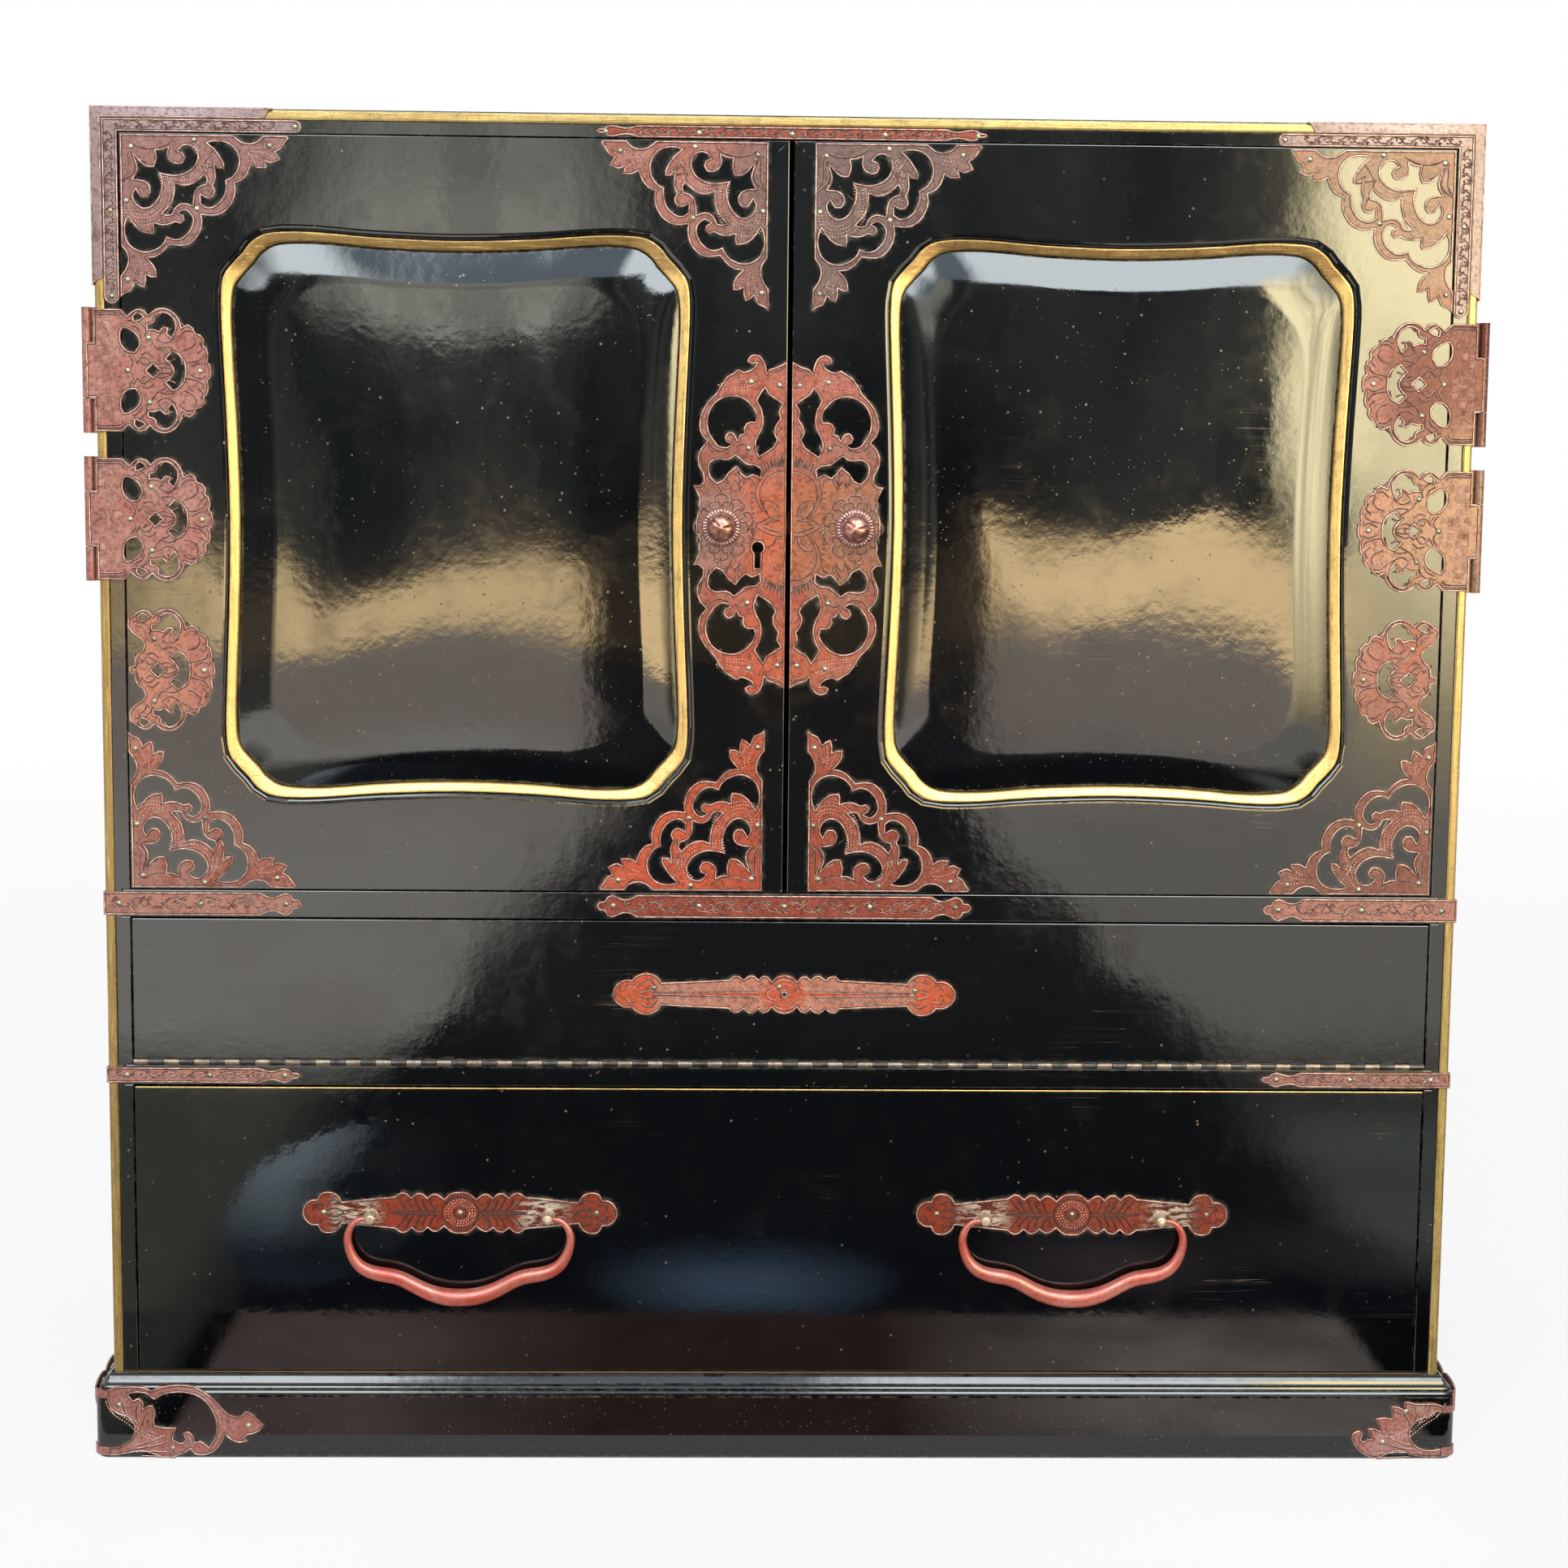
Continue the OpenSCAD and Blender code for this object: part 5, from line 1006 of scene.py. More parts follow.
class CHEST_OT_mounts(bpy.types.Operator):
    """Pierced mounts, hinge leaves, lock plates and plates, with worn rims and engraved lines"""

    bl_idname = "chest.mounts"
    bl_label = "Iron mounts"

    def execute(self, context):
        for hand in ("left", "right"):
            pierced_sheet(hand + "_door_mounts", hand + "_corner_mounts", "mount_iron")
            pierced_sheet(hand + "_hinge_leaves", hand + "_flower_hinges", "hinge_iron")
            pierced_sheet(hand + "_lock_plate", hand + "_lock_mount", "mount_iron")
        pierced_sheet("flap_plate", "flap_mount", "flap_iron")
        pierced_sheet("handle_plates", "handle_mounts", "handle_iron")
        pierced_sheet("plinth_mounts", "plinth_corner_mounts", "plinth_iron",
                      (AHEAD, Vector((1, 0, 0)), Vector((-1, 0, 0))))
        pierced_sheet("rail_straps", "engraved_straps", "strap_iron")
        pierced_sheet("top_corner_straps", "engraved_corner_straps", "cap_iron")
        pierced_sheet("top_edge_caps", "bevelled_edge_caps", "cap_iron", line=False)
        return {"FINISHED"}


class CHEST_OT_engraving(bpy.types.Operator):
    """Ridges and rows of punched dots on the mounts"""

    bl_idname = "chest.engraving"
    bl_label = "Engraving"

    KEYHOLE = Vector((19.5, 20))
    PETALS = 10
    PLATE_REACH = 0.4608

    def execute(self, context):
        for side, hand in ((-1, "left"), (1, "right")):
            self.corners(side, hand)
            self.lock(side, hand)
            self.hinges(side, hand)
        self.flap()
        self.handles()
        self.straps()
        self.corner_straps()
        self.plinth()
        return {"FINISHED"}

    @staticmethod
    def quarters(work, middle, lines, hatch=()):
        """Lines of one quarter of a plate, four times."""
        for sx in (1, -1):
            for sz in (1, -1):
                place = work.on_face(middle.y, middle.x, middle.z, sx, sz)
                work.add_lines(lines, place)
                work.add_lines(hatch, place, cut=False)

    @staticmethod
    def lobed_ring(radius, wave, squash=1.0):
        """Circle, or with a wave a ring of four lobes that meet in cusps."""
        ring = []
        for k in range(49):
            angle = math.pi * k / 24
            reach = radius + wave * (2 * abs(math.cos(2 * angle)) - 1)
            ring.append((reach * math.cos(angle), reach * math.sin(angle) * squash))
        return ring

    def flap(self):
        work = Engraving()
        low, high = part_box("flap_plate")
        middle = Vector(((low.x + high.x) / 2, low.y, (low.z + high.z) / 2))
        hatch = [((x, 2.2 - 0.012 * x), (x + 2.2, 6.6 - 0.026 * x))
                 for x in (18.5 + k * 1.75 for k in range(38))]
        self.quarters(work, middle, PLATE_END + (((17, 1.7), (60, 0.8), (86, 0.3)),), hatch)
        place = work.on_face(middle.y, middle.x, middle.z)
        work.add_lines([self.lobed_ring(2.9, 0)], place)
        for ring in (self.lobed_ring(13.6, 1.9, 0.62), self.lobed_ring(9.8, 1.4, 0.62)):
            work.ridges.append([place(p) for p in ring])
        work.make("flap_mount_engraving", "flap")

    def handles(self):
        work = Engraving()
        low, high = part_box("handle_plates")
        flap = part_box("flap_plate")
        half = (flap[1].x - flap[0].x) * self.PLATE_REACH
        ends = tuple([(u * 0.93, w) for u, w in line] for line in PLATE_END)
        for x in (low.x + half, high.x - half):
            middle = Vector((x, low.y, (low.z + high.z) / 2))
            self.quarters(work, middle,
                          HANDLE_FOLDS + ends + (((13.4, 1.0), (30, 0.7), (44, 0.1)),))
            place = work.on_face(middle.y, middle.x, middle.z)
            work.add_lines([self.lobed_ring(radius, 0, 0.9) for radius in (4.3, 12.4)], place)
            for radius in (6.2, 8, 9.8):
                ring = [Vector(p) for p in self.lobed_ring(radius, 0, 0.9)]
                work.dots += [place(p) for p in spaced(ring, sizes().dot_step / MM)]
        work.cuts, work.ridges = work.cuts + work.ridges, []
        work.make("handle_mounts_engraving", "drawer")

    @staticmethod
    def straps():
        """Vines on the straps: start and end across, height, and the arches' rise and length."""
        work = Engraving()
        upper, lower = (sum(corner.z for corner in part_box(node)) / 2
                        for node in ("upper_rail_board", "lower_rail_board"))
        low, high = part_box("rail_straps")
        edge = HALF_W / MM
        for start, end, z, rise, arch in (
                (-104, 104, upper, 3.1, 11.5), (-104, 104, high.z - 3.8 * MM, 1.6, 8.5),
                (edge - 104, edge - 6, upper, 3.1, 11.5), (6 - edge, 104 - edge, upper, 3.1, 11.5),
                (edge - 102, edge - 6, lower, 2.1, 9.5), (6 - edge, 102 - edge, lower, 2.1, 9.5)):
            work.add_lines(vine(start, end, rise, arch), work.on_face(low.y, z=z))
        work.make("strap_engraving", "case")

    @staticmethod
    def corner_straps():
        work = Engraving()
        low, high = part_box("top_corner_straps")
        reach, tall = high.x / MM, (high.z - low.z) / MM
        upright = [[(reach - 4.7 + y, -x) for x, y in line]
                   for line in vine(9, tall - 8, 2.3, 5.2)]
        for side in (-1, 1):
            work.add_lines(vine(reach - 108, reach - 8, 1.9, 7.6),
                           work.on_face(low.y, z=high.z - 4.1 * MM, across=side))
            work.add_lines(upright, work.on_face(low.y, z=high.z, across=side))
        work.make("corner_strap_engraving", "case")

    @staticmethod
    def plinth():
        work = Engraving()
        for side in (-1, 1):
            place = work.on_face(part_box("plinth_mounts")[0].y, across=side)
            work.add_lines(PLINTH_LINES, place)
            work.add_rows(PLINTH_ROWS, place)
        work.make("plinth_mount_engraving", "case")

    @staticmethod
    def corners(side, hand):
        work = Engraving()
        for x, sx, tall in ((DOOR_IN + 12.3 * MM, 1, 1.0), (DOOR_OUT, -1, 0.96)):
            for z, sz in ((DOOR_LOW + MM, 1), (DOOR_HIGH - MM, -1)):
                place = work.on_face(MOUNT_FACE, side * x, z, side * sx, sz * tall)
                work.add_lines(CORNER_LINES, place)
                work.add_rows(CORNER_ROWS, place)
        work.make(hand + "_corner_engraving", hand + "_door")

    def lock(self, side, hand):
        work = Engraving()
        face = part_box(hand + "_lock_plate")[0].y
        for up in (1, -1):
            place = work.on_face(face, 0.0, LOCK_Z, side, up)
            lines = LOCK_LINES
            if hand == "left" and up < 0:
                lines = [line for line in lines if all(
                    abs(p[0] - self.KEYHOLE.x) > 4.6 or abs(p[1] - self.KEYHOLE.y) > 10
                    for p in line)]
            work.add_lines(lines, place)
            work.add_rows(LOCK_ROWS, place)
        low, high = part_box(hand + "_knob")
        place = work.on_face(face, (low.x + high.x) / 2, (low.z + high.z) / 2)
        wide = math.pi / self.PETALS * 0.94
        for ring, (inner, outer) in enumerate(((13.4, 17.6), (16.4, 21.4))):
            for k in range(self.PETALS):
                mid = 2 * math.pi * (k + ring / 2) / self.PETALS
                if ring and math.cos(mid) * side > 0.35:
                    continue
                arc = [(inner, -wide), (outer - 1.2, -wide * 0.8), (outer, -wide * 0.3),
                       (outer, wide * 0.3), (outer - 1.2, wide * 0.8), (inner, wide)]
                work.add_lines([[(r * math.cos(mid + a), r * math.sin(mid + a))
                                 for r, a in arc]], place)
        work.make(hand + "_lock_engraving", hand + "_door")

    def hinges(self, side, hand):
        work, false = Engraving(), Engraving()
        places = [(work, z, LEAF_FACE) for z in LEAF_MIDDLES]
        for target, z, face in places + [(false, FALSE_HINGE_Z, MOUNT_FACE)]:
            for up in (1, -1):
                place = work.on_face(face, side * (HALF_W + MM), z, -side, up)
                target.add_lines(FLOWER_LINES, place)
                if target is work:
                    target.add_lines(LEAF_LINES, place)
            if target is work:
                work.add_lines(self.basket(), place, cut=False)
        work.make(hand + "_hinge_engraving", hand + "_door")
        false.make(hand + "_false_hinge_engraving", hand + "_door")

    @staticmethod
    def basket():
        """Basket weave on a hinge leaf: diamonds of short strokes that lean both ways."""
        lines = []
        for row in range(-6, 6):
            for column in range(3):
                x, z = 1.6 + column * 5.1, row * 5.1 + 2.6
                if abs(z) > 32 or (x > 11 and 12 < abs(z) < 27):
                    continue
                lean = 1 if (row + column) % 2 else -1
                for k in (0, 1.5, 3.0):
                    cut = 3.9 - k
                    lines.append(((x, z + lean * (k - 2.2)),
                                  (x + cut, z + lean * (k - 2.2 + cut))))
                    if k:
                        lines.append(((x + k, z - lean * 2.2),
                                      (x + k + cut, z - lean * (2.2 - cut))))
        return lines


class CHEST_OT_small_metal(bpy.types.Operator):
    """Nails, pins, hinge halves, stays and the lock"""

    bl_idname = "chest.small_metal"
    bl_label = "Small metal parts"

    # Finish and slot of each node.
    PARTS = {
        "case_nails": ("nail_metal", "nail_metal"),
        "left_door_nails": ("nail_metal", "nail_metal"),
        "right_door_nails": ("nail_metal", "nail_metal"),
        "flap_nails": ("nail_metal", "nail_metal"),
        "drawer_nails": ("nail_metal", "nail_metal"),
        "door_hinge_case_leaves": ("hinge_iron", "lacquered_iron"),
        "door_hinge_pins": ("plain_iron", "plain_iron"),
        "flap_hinge_case_leaf": ("knuckle_metal", "worn_iron"),
        "flap_hinge_flap_leaf": ("plain_iron", "worn_iron"),
        "flap_hinge_pin": ("plain_iron", "plain_iron"),
        "stay_screws": ("plain_iron", "plain_iron"),
        "stay_brackets": ("plain_iron", "plain_iron"),
        "left_flap_stay": ("plain_iron", "plain_iron"),
        "right_flap_stay": ("plain_iron", "plain_iron"),
        "lock_case": ("plain_iron", "plain_iron"),
        "lock_bolt": ("bolt_brass", "plain_iron"),
        "lock_keep": ("plain_iron", "plain_iron"),
        "handle_posts": ("post_metal", "worn_iron"),
    }

    def execute(self, context):
        for node, (look, slot) in self.PARTS.items():
            place_piece(merged(node), node + "_finished", [look], body_of(node), slot, [node],
                        sharp=35)
        return {"FINISHED"}


class CHEST_OT_bails(bpy.types.Operator):
    """Cast bails of the drawer"""

    bl_idname = "chest.bails"
    bl_label = "Bails"

    def execute(self, context):
        for node in ("left_bail", "right_bail"):
            bm = bmesh.new()
            bm.from_mesh(frame["nodes"][node].data)
            bmesh.ops.remove_doubles(bm, verts=bm.verts, dist=WELD)
            bmesh.ops.join_triangles(bm, faces=bm.faces, angle_face_threshold=0.7,
                                     angle_shape_threshold=3.1)
            piece = place_piece(bm, node + "_cast", ["bail_red"], body_of(node),
                                "lacquered_iron", [node], sharp=60)
            smoother = piece.modifiers.new("Smooth", "SUBSURF")
            smoother.levels = smoother.render_levels = 1
        return {"FINISHED"}


class CHEST_OT_knobs(bpy.types.Operator):
    """Knobs with a fluted rose and a seamed bud"""

    bl_idname = "chest.knobs"
    bl_label = "Knobs"

    def execute(self, context):
        flutes = sizes().flutes
        for hand in ("left", "right"):
            node = hand + "_knob"
            low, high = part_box(node)
            middle = Vector(((low.x + high.x) / 2, 0, (low.z + high.z) / 2))
            reach = (DOOR_FACE - low.y) / MM
            self.turned(node, hand + "_knob_rose", middle, flutes, (
                (0.4, -1.0), (12.5, 1.0), (12.5, 1.7), (11.9, 2.4), (11.0, 2.75), (9.9, 2.95),
                (9.3, 2.7), (8.9, 3.2), (8.2, 3.6), (7.0, 3.9), (6.0, 4.3), (0.4, 4.3)),
                self.flute, replaces=False)
            self.turned(node, hand + "_knob_bud", middle, flutes, (
                (0.02, -15.5), (2.4, -15.5), (2.4, 3.9), (6.9, 4.1), (6.7, 5.8), (7.8, 7.0),
                (8.6, 8.5), (8.7, 9.8), (8.2, 11.5), (6.9, 13.0), (4.9, 14.2),
                (2.4, reach - 0.25), (0.02, reach)), self.seam, replaces=True)
        return {"FINISHED"}

    @staticmethod
    def flute(angle, radius, out, flutes):
        if radius < 8.6 * MM or out < 0.0012:
            return 0.0, 0.0
        wave = abs(math.sin(angle * flutes / 2))
        return 0.0, -0.00065 * (1 - wave) ** 1.5

    @staticmethod
    def seam(angle, radius, out, flutes):
        if out < 0.0065 or radius < 0.0003:
            return 0.0, 0.0
        turn = (angle + 0.5 + out * 22) % (2 * math.pi / 3) - math.pi / 3
        dent = math.exp(-((turn * radius) / 0.0006) ** 2)
        return -0.0008 * dent, -0.0007 * dent

    @staticmethod
    def turned(node, name, middle, flutes, profile, shape, replaces):
        bm = bmesh.new()
        verts = [bm.verts.new((r * MM, -out * MM, 0)) for r, out in profile]
        edges = [bm.edges.new(pair) for pair in zip(verts, verts[1:])]
        bmesh.ops.spin(bm, geom=verts + edges, cent=(0, 0, 0), axis=(0, 1, 0), dvec=(0, 0, 0),
                       angle=2 * math.pi, steps=flutes * 4, use_merge=True)
        bmesh.ops.remove_doubles(bm, verts=bm.verts, dist=0.000021)
        for v in bm.verts:
            radius = math.hypot(v.co.x, v.co.z)
            if radius < 0.00001:
                continue
            grow, lift = shape(math.atan2(v.co.z, v.co.x), radius, -v.co.y, flutes)
            v.co.x *= 1 + grow / radius
            v.co.z *= 1 + grow / radius
            v.co.y -= lift
        bmesh.ops.holes_fill(bm, edges=bm.edges, sides=0)
        bmesh.ops.recalc_face_normals(bm, faces=bm.faces)
        bmesh.ops.translate(bm, verts=bm.verts, vec=middle + Vector((0, DOOR_FACE, 0)))
        look = "knob_bud" if replaces else "knob_rose"
        place_piece(bm, name, [look], body_of(node), "worn_iron", [node], sharp=50)


class CHEST_OT_carried_over(bpy.types.Operator):
    """Finishes of the solids whose shape is already right"""

    bl_idname = "chest.carried_over"
    bl_label = "Plain pieces"

    LOOKS = {
        "gilt_edging": "edging_gold", "case_bottom": "wood_wide", "case_back": "wood_upright",
        "inner_shelf": "wood_wide", "drawer_sides": "wood_deep", "drawer_back": "wood_wide",
        "drawer_bottom": "wood_wide",
    }

    def execute(self, context):
        for node, look in self.LOOKS.items():
            solid = frame["nodes"][node]
            solid.data.materials.clear()
            solid.data.materials.append(FINISHES[look])
        return {"FINISHED"}


class CHEST_OT_finishes(bpy.types.Operator):
    """Materials of all pieces"""

    bl_idname = "chest.finishes"
    bl_label = "Finishes"

    def execute(self, context):
        c = colours()

        def at(x, z, face=DOOR_FACE):
            return Vector((x, face, z))

        # Tints: middle, radius in full, radius where it ends, strength, colour.
        inner, outer = DOOR_IN + 0.045, DOOR_OUT - 0.05
        low, high = DOOR_LOW + 0.04, DOOR_HIGH - 0.05
        # These tints are partly the mounts' own uneven colour and partly painted sheen and glare
        # reflection, such as the mauve at the top corners.
        corners = (
            (at(-inner, low), 0.06, 0.12, 0.95, (0.84, 0.34, 0.18)),
            (at(inner, low), 0.05, 0.11, 0.85, (0.62, 0.28, 0.18)),
            (at(-inner, high), 0.05, 0.10, 0.5, (0.64, 0.40, 0.35)),
            (at(inner, high), 0.06, 0.11, 0.9, (0.42, 0.35, 0.33)),
            (at(-outer, high), 0.06, 0.11, 0.75, (0.57, 0.42, 0.40)),
            (at(outer, high), 0.04, 0.11, 0.9, (0.52, 0.41, 0.32)),
            (at(outer, low), 0.05, 0.11, 0.8, (0.50, 0.29, 0.24)),
            (at(0.02 - HALF_W, FALSE_HINGE_Z), 0.03, 0.07, 0.85, (0.80, 0.52, 0.42)),
            (at(-0.014, LOCK_Z), 0.012, 0.05, 0.95, (0.85, 0.38, 0.22)),
            (at(-0.02, LOCK_Z - 0.08), 0.02, 0.06, 0.8, (0.80, 0.34, 0.20)),
            (at(0.03, LOCK_Z - 0.09), 0.02, 0.05, 0.75, (0.74, 0.38, 0.24)),
            (at(0, LOCK_Z + 0.09), 0.04, 0.06, 0.65, (0.77, 0.40, 0.31)),
            (at(0.028, LOCK_Z), 0.024, 0.05, 0.9, (0.70, 0.42, 0.27)),
            (at(-0.046, LOCK_Z), 0.018, 0.032, 0.75, (0.62, 0.48, 0.43)),
            (at(0.046, LOCK_Z), 0.014, 0.028, 0.7, (0.60, 0.45, 0.37)))
        # Painted reflection on the right door's hinges: the upper hinge darker where it shows no
        # glare, the lower one paler, standing in for the glare it reflects.
        hinge_high, hinge_low = LEAF_MIDDLES
        hinges = (
            (at(HALF_W, hinge_high), 0.05, 0.08, 0.95, (0.42, 0.21, 0.18)),
            (at(HALF_W, hinge_low), 0.05, 0.08, 0.85, (0.68, 0.53, 0.42)))
        left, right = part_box("flap_plate")
        middle = (left + right) / 2
        ends = [(at(x, middle.z, left.y), 0.026, 0.032, 0.95, (0.86, 0.36, 0.18))
                for x in (left.x, right.x)]
        ends.append((at(middle.x, middle.z, left.y), 0.0125, 0.015, 0.95, (0.84, 0.36, 0.20)))
        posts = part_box("handle_posts")
        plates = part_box("handle_plates")
        gap = 0.117
        z = (plates[0].z + plates[1].z) / 2 - 0.001
        pale = [(at(x, z, plates[0].y), 0.008, 0.021, 1.0) for x in (
            posts[0].x - 0.006, posts[0].x + gap, posts[1].x - gap - 0.004, posts[1].x + 0.002)]
        straps = [(at(side * HALF_W, zone, FRONT), 0.15, 0.2, 0.9, (0.72, 0.50, 0.44))
                  for side in (-1, 1) for zone in (DOOR_LOW, DOOR_LOW - 0.12)]
        # Painted sheen: the top corner straps paler and mauve towards the top.
        caps = [(at(side * (HALF_W - 0.05), CAD_BOX[1][2] + 0.1, FRONT), 0.1, 0.118, 0.85,
                 (0.76, 0.68, 0.69)) for side in (-1, 1)]
        FINISHES.update(
            black_lacquer=black_lacquer(),
            mount_iron=red_iron("mount_iron", c.iron, c.iron_rose, 0.5, tints=corners,
                                shine=0.3, coat=0.1),
            hinge_iron=red_iron("hinge_iron", [0.70, 0.43, 0.39], [0.75, 0.54, 0.49], 0.6,
                                tints=hinges, shine=0.2, coat=0.03),
            flap_iron=red_iron("flap_iron", [0.84, 0.48, 0.35], [0.83, 0.56, 0.46], 0.75,
                               tints=ends, lens=(middle, 0.088, 0.0016)),
            handle_iron=red_iron("handle_iron", [0.64, 0.24, 0.13], [0.58, 0.28, 0.19], 0.45,
                                 pale=pale, shine=0.2, coat=0),
            strap_iron=red_iron("strap_iron", c.strap, [0.66, 0.33, 0.25], 0.4, tints=straps,
                                shine=0.25, coat=0),
            cap_iron=red_iron("cap_iron", [0.56, 0.43, 0.42], c.mauve_and_sheen, 0.85, tints=caps),
            plinth_iron=red_iron("plinth_iron", [0.70, 0.40, 0.34], [0.77, 0.57, 0.53], 0.6),
            bail_red=red_iron("bail_red", c.bail, [0.82, 0.50, 0.44], 0.3,
                              shine=0.6, coat=0.6, wear=0.3),
            knob_rose=plain_metal("knob_rose", [0.72, 0.58, 0.56], [0.46, 0.28, 0.25], 0.5,
                                  0.2, 0.36),
            knob_bud=plain_metal("knob_bud", [0.70, 0.51, 0.45], [0.42, 0.23, 0.18], 0.7,
                                 0.2, 0.34),
            dark_cut=dark_cut(),
            rubbed_rim=rubbed_rim(),
            gilding=gilding("gilding", c.gilt,
                            painted_shade_above=PANEL_MID.z + MOULDING_HALF.z - 0.02),
            edging_gold=gilding("edging_gold", [0.82, 0.71, 0.43], tints=(
                (at(-HALF_W, 0.42, FRONT), 0.2, 0.7, 0.65),
                (at(HALF_W, 0.42, FRONT), 0.2, 0.7, 0.3))),
            knuckle_metal=plain_metal("knuckle_metal", [0.56, 0.50, 0.44], [0.36, 0.29, 0.25],
                                      0.5, 0.3, 0.5),
            nail_metal=plain_metal("nail_metal", c.nail, [v * 0.5 for v in c.nail], 0.7, 0.25,
                                   0.45),
            bolt_brass=plain_metal("bolt_brass", c.brass, [v * 0.45 for v in c.brass], 0.75,
                                   0.25, 0.45),
            post_metal=plain_metal("post_metal", [0.82, 0.75, 0.64], [0.58, 0.46, 0.37], 0.3,
                                   0.3, 0.5),
            plain_iron=plain_metal("plain_iron", c.plain_iron,
                                   [v * 0.6 for v in c.plain_iron], 0.8, 0.35, 0.6),
            wood_deep=bare_wood("wood_deep", (1.0, 0.12, 1.0)),
            wood_wide=bare_wood("wood_wide", (0.12, 1.0, 1.0)),
            wood_upright=bare_wood("wood_upright", (1.0, 1.0, 0.12)),
        )
        return {"FINISHED"}


def only_reflected(name, mesh):
    """Stage piece that shows in reflections and nowhere else."""
    sheet = bpy.data.objects.new(name, mesh)
    sheet.visible_camera = sheet.visible_diffuse = sheet.visible_shadow = False
    bpy.context.scene.collection.objects.link(sheet)


class CHEST_OT_studio(bpy.types.Operator):
    """Camera, floor, lights and the surroundings that the lacquer reflects"""

    bl_idname = "chest.studio"
    bl_label = "Studio"

    FLOOR_HALF = 40
    YARD_HALF = 6
    # The yard from the chest's foot outwards and up: distance from the front, height.
    YARD = ((0.022, 0.012), (1.6, 0.012), (3.1, 0.012), (3.35, 0.06), (3.47, 0.2), (3.5, 0.5),
            (3.5, 1.75), (3.2, 3.0), (2.2, 4.2))

    def execute(self, context):
        scene = context.scene
        studio = scene.chest_studio
        self.camera(scene, studio)
        self.floor(scene)
        self.yard()
        self.bush()
        self.lamp("front_softbox", (-0.7, -2.6, 2.5), (0, 0, 0.45), 2.2, studio.key)
        self.lamp("top_softbox", (0.2, -0.4, 3.4), (0, 0, 0.4), 2.8, studio.top)
        self.world(scene, studio)
        scene.view_settings.view_transform = "Standard"
        return {"FINISHED"}

    @staticmethod
    def camera(scene, studio):
        data = bpy.data.cameras.new("photo_camera")
        data.sensor_width = 36
        data.lens = studio.lens
        camera = bpy.data.objects.new("photo_camera", data)
        scene.collection.objects.link(camera)
        tilt, roll, turn = studio.turn
        base = Matrix(((1, 0, 0), (0, 0, -1), (0, 1, 0)))
        view = (Matrix.Rotation(turn, 3, "Z") @ Matrix.Rotation(roll, 3, "Y")
                @ Matrix.Rotation(tilt, 3, "X") @ base)
        axes = Matrix((view[0], -view[1], -view[2])).transposed()
        camera.matrix_world = Matrix.Translation(
            Vector(studio.eye) + Vector((0, FRONT, 0))) @ axes.to_4x4()
        scene.camera = camera

    @staticmethod
    def lamp(name, place, target, size, power):
        data = bpy.data.lights.new(name, "AREA")
        data.shape = "DISK"
        data.size = size
        data.energy = power
        lamp = bpy.data.objects.new(name, data)
        bpy.context.scene.collection.objects.link(lamp)
        lamp.location = place
        lamp.visible_glossy = False
        aim = Vector(target) - Vector(place)
        lamp.rotation_mode = "QUATERNION"
        lamp.rotation_quaternion = aim.to_track_quat("-Z", "Y")

    def floor(self, scene):
        """Pale floor that fades to white far from the chest."""
        f = Finish("studio_floor")
        pale = colours().floor
        tone = f.mix(f.between(f.noise(3, 4, 0.5), 0.3, 0.7), linear(pale), shade(pale, 0.99))
        f.finish(Base_Color=tone, Roughness=0.9)
        far = f.between(f.near((0, 0, 0), 1.2, 4.5), 1, 0, 0.86, 1.0)
        white = f.add("Emission", Color=(1, 1, 1, 1), Strength=1.0)
        f.show(f.times(f.seen(), far), f.shader, white)
        bm = bmesh.new()
        bmesh.ops.create_grid(bm, x_segments=1, y_segments=1, size=self.FLOOR_HALF)
        floor = bpy.data.objects.new("studio_floor", new_mesh(bm, "studio_floor", [f.material]))
        scene.collection.objects.link(floor)

    def yard(self):
        """Surroundings that only the lacquer reflects: yard, wall and sky before the chest."""
        f = Finish("reflected_yard")
        x, y, z = f.axes()
        folds = f.noise(5, 4, 0.65, (1.0, 1.0, 0.10))
        wobble = f.between(f.noise(2.6, 3), 0.3, 0.7, -0.035, 0.035)
        bent = f.sum("ADD", x, wobble, clamp=False)
        colour = f.mix(f.between(z, 0.02, 0.05), self.ground(f, x, y, folds),
                       self.wall(f, x, z, bent, folds))
        colour = f.mix(self.shadow(f, y, z, bent), colour, (0.04, 0.05, 0.06, 1))
        colour = f.mix(f.between(z, 1.72, 1.80), colour, self.sky(f, x))
        glow = f.add("Emission", Color=colour, Strength=1.0)
        f.links.new(glow.outputs[0], f.nodes["Material Output"].inputs[0])
        bm = bmesh.new()
        line = [bm.verts.new((-self.YARD_HALF, FRONT - out, up)) for out, up in self.YARD]
        edges = [bm.edges.new(pair) for pair in zip(line, line[1:])]
        moved = bmesh.ops.extrude_edge_only(bm, edges=edges)["geom"]
        bmesh.ops.translate(bm, verts=[g for g in moved if isinstance(g, bmesh.types.BMVert)],
                            vec=(2 * self.YARD_HALF, 0, 0))
        only_reflected("reflected_yard", new_mesh(bm, "reflected_yard", [f.material]))

    @staticmethod
    def shadow(f, y, z, bent):
        """Dark middle of the yard and wall, with soft sides that lean outwards."""
        left = f.sum("ADD", bent, f.between(y, FRONT - 1.0, FRONT - 3.3, 0.0, -0.16), clamp=False)
        right = f.sum("ADD", bent, f.between(y, FRONT - 1.5, FRONT - 3.3, 0.0, 0.10), clamp=False)
        return f.times(f.between(left, -0.42, -0.37), f.between(right, 0.54, 0.48),
                       f.between(z, 1.0, 0.6), f.between(y, FRONT - 0.28, FRONT - 0.55), 0.97)

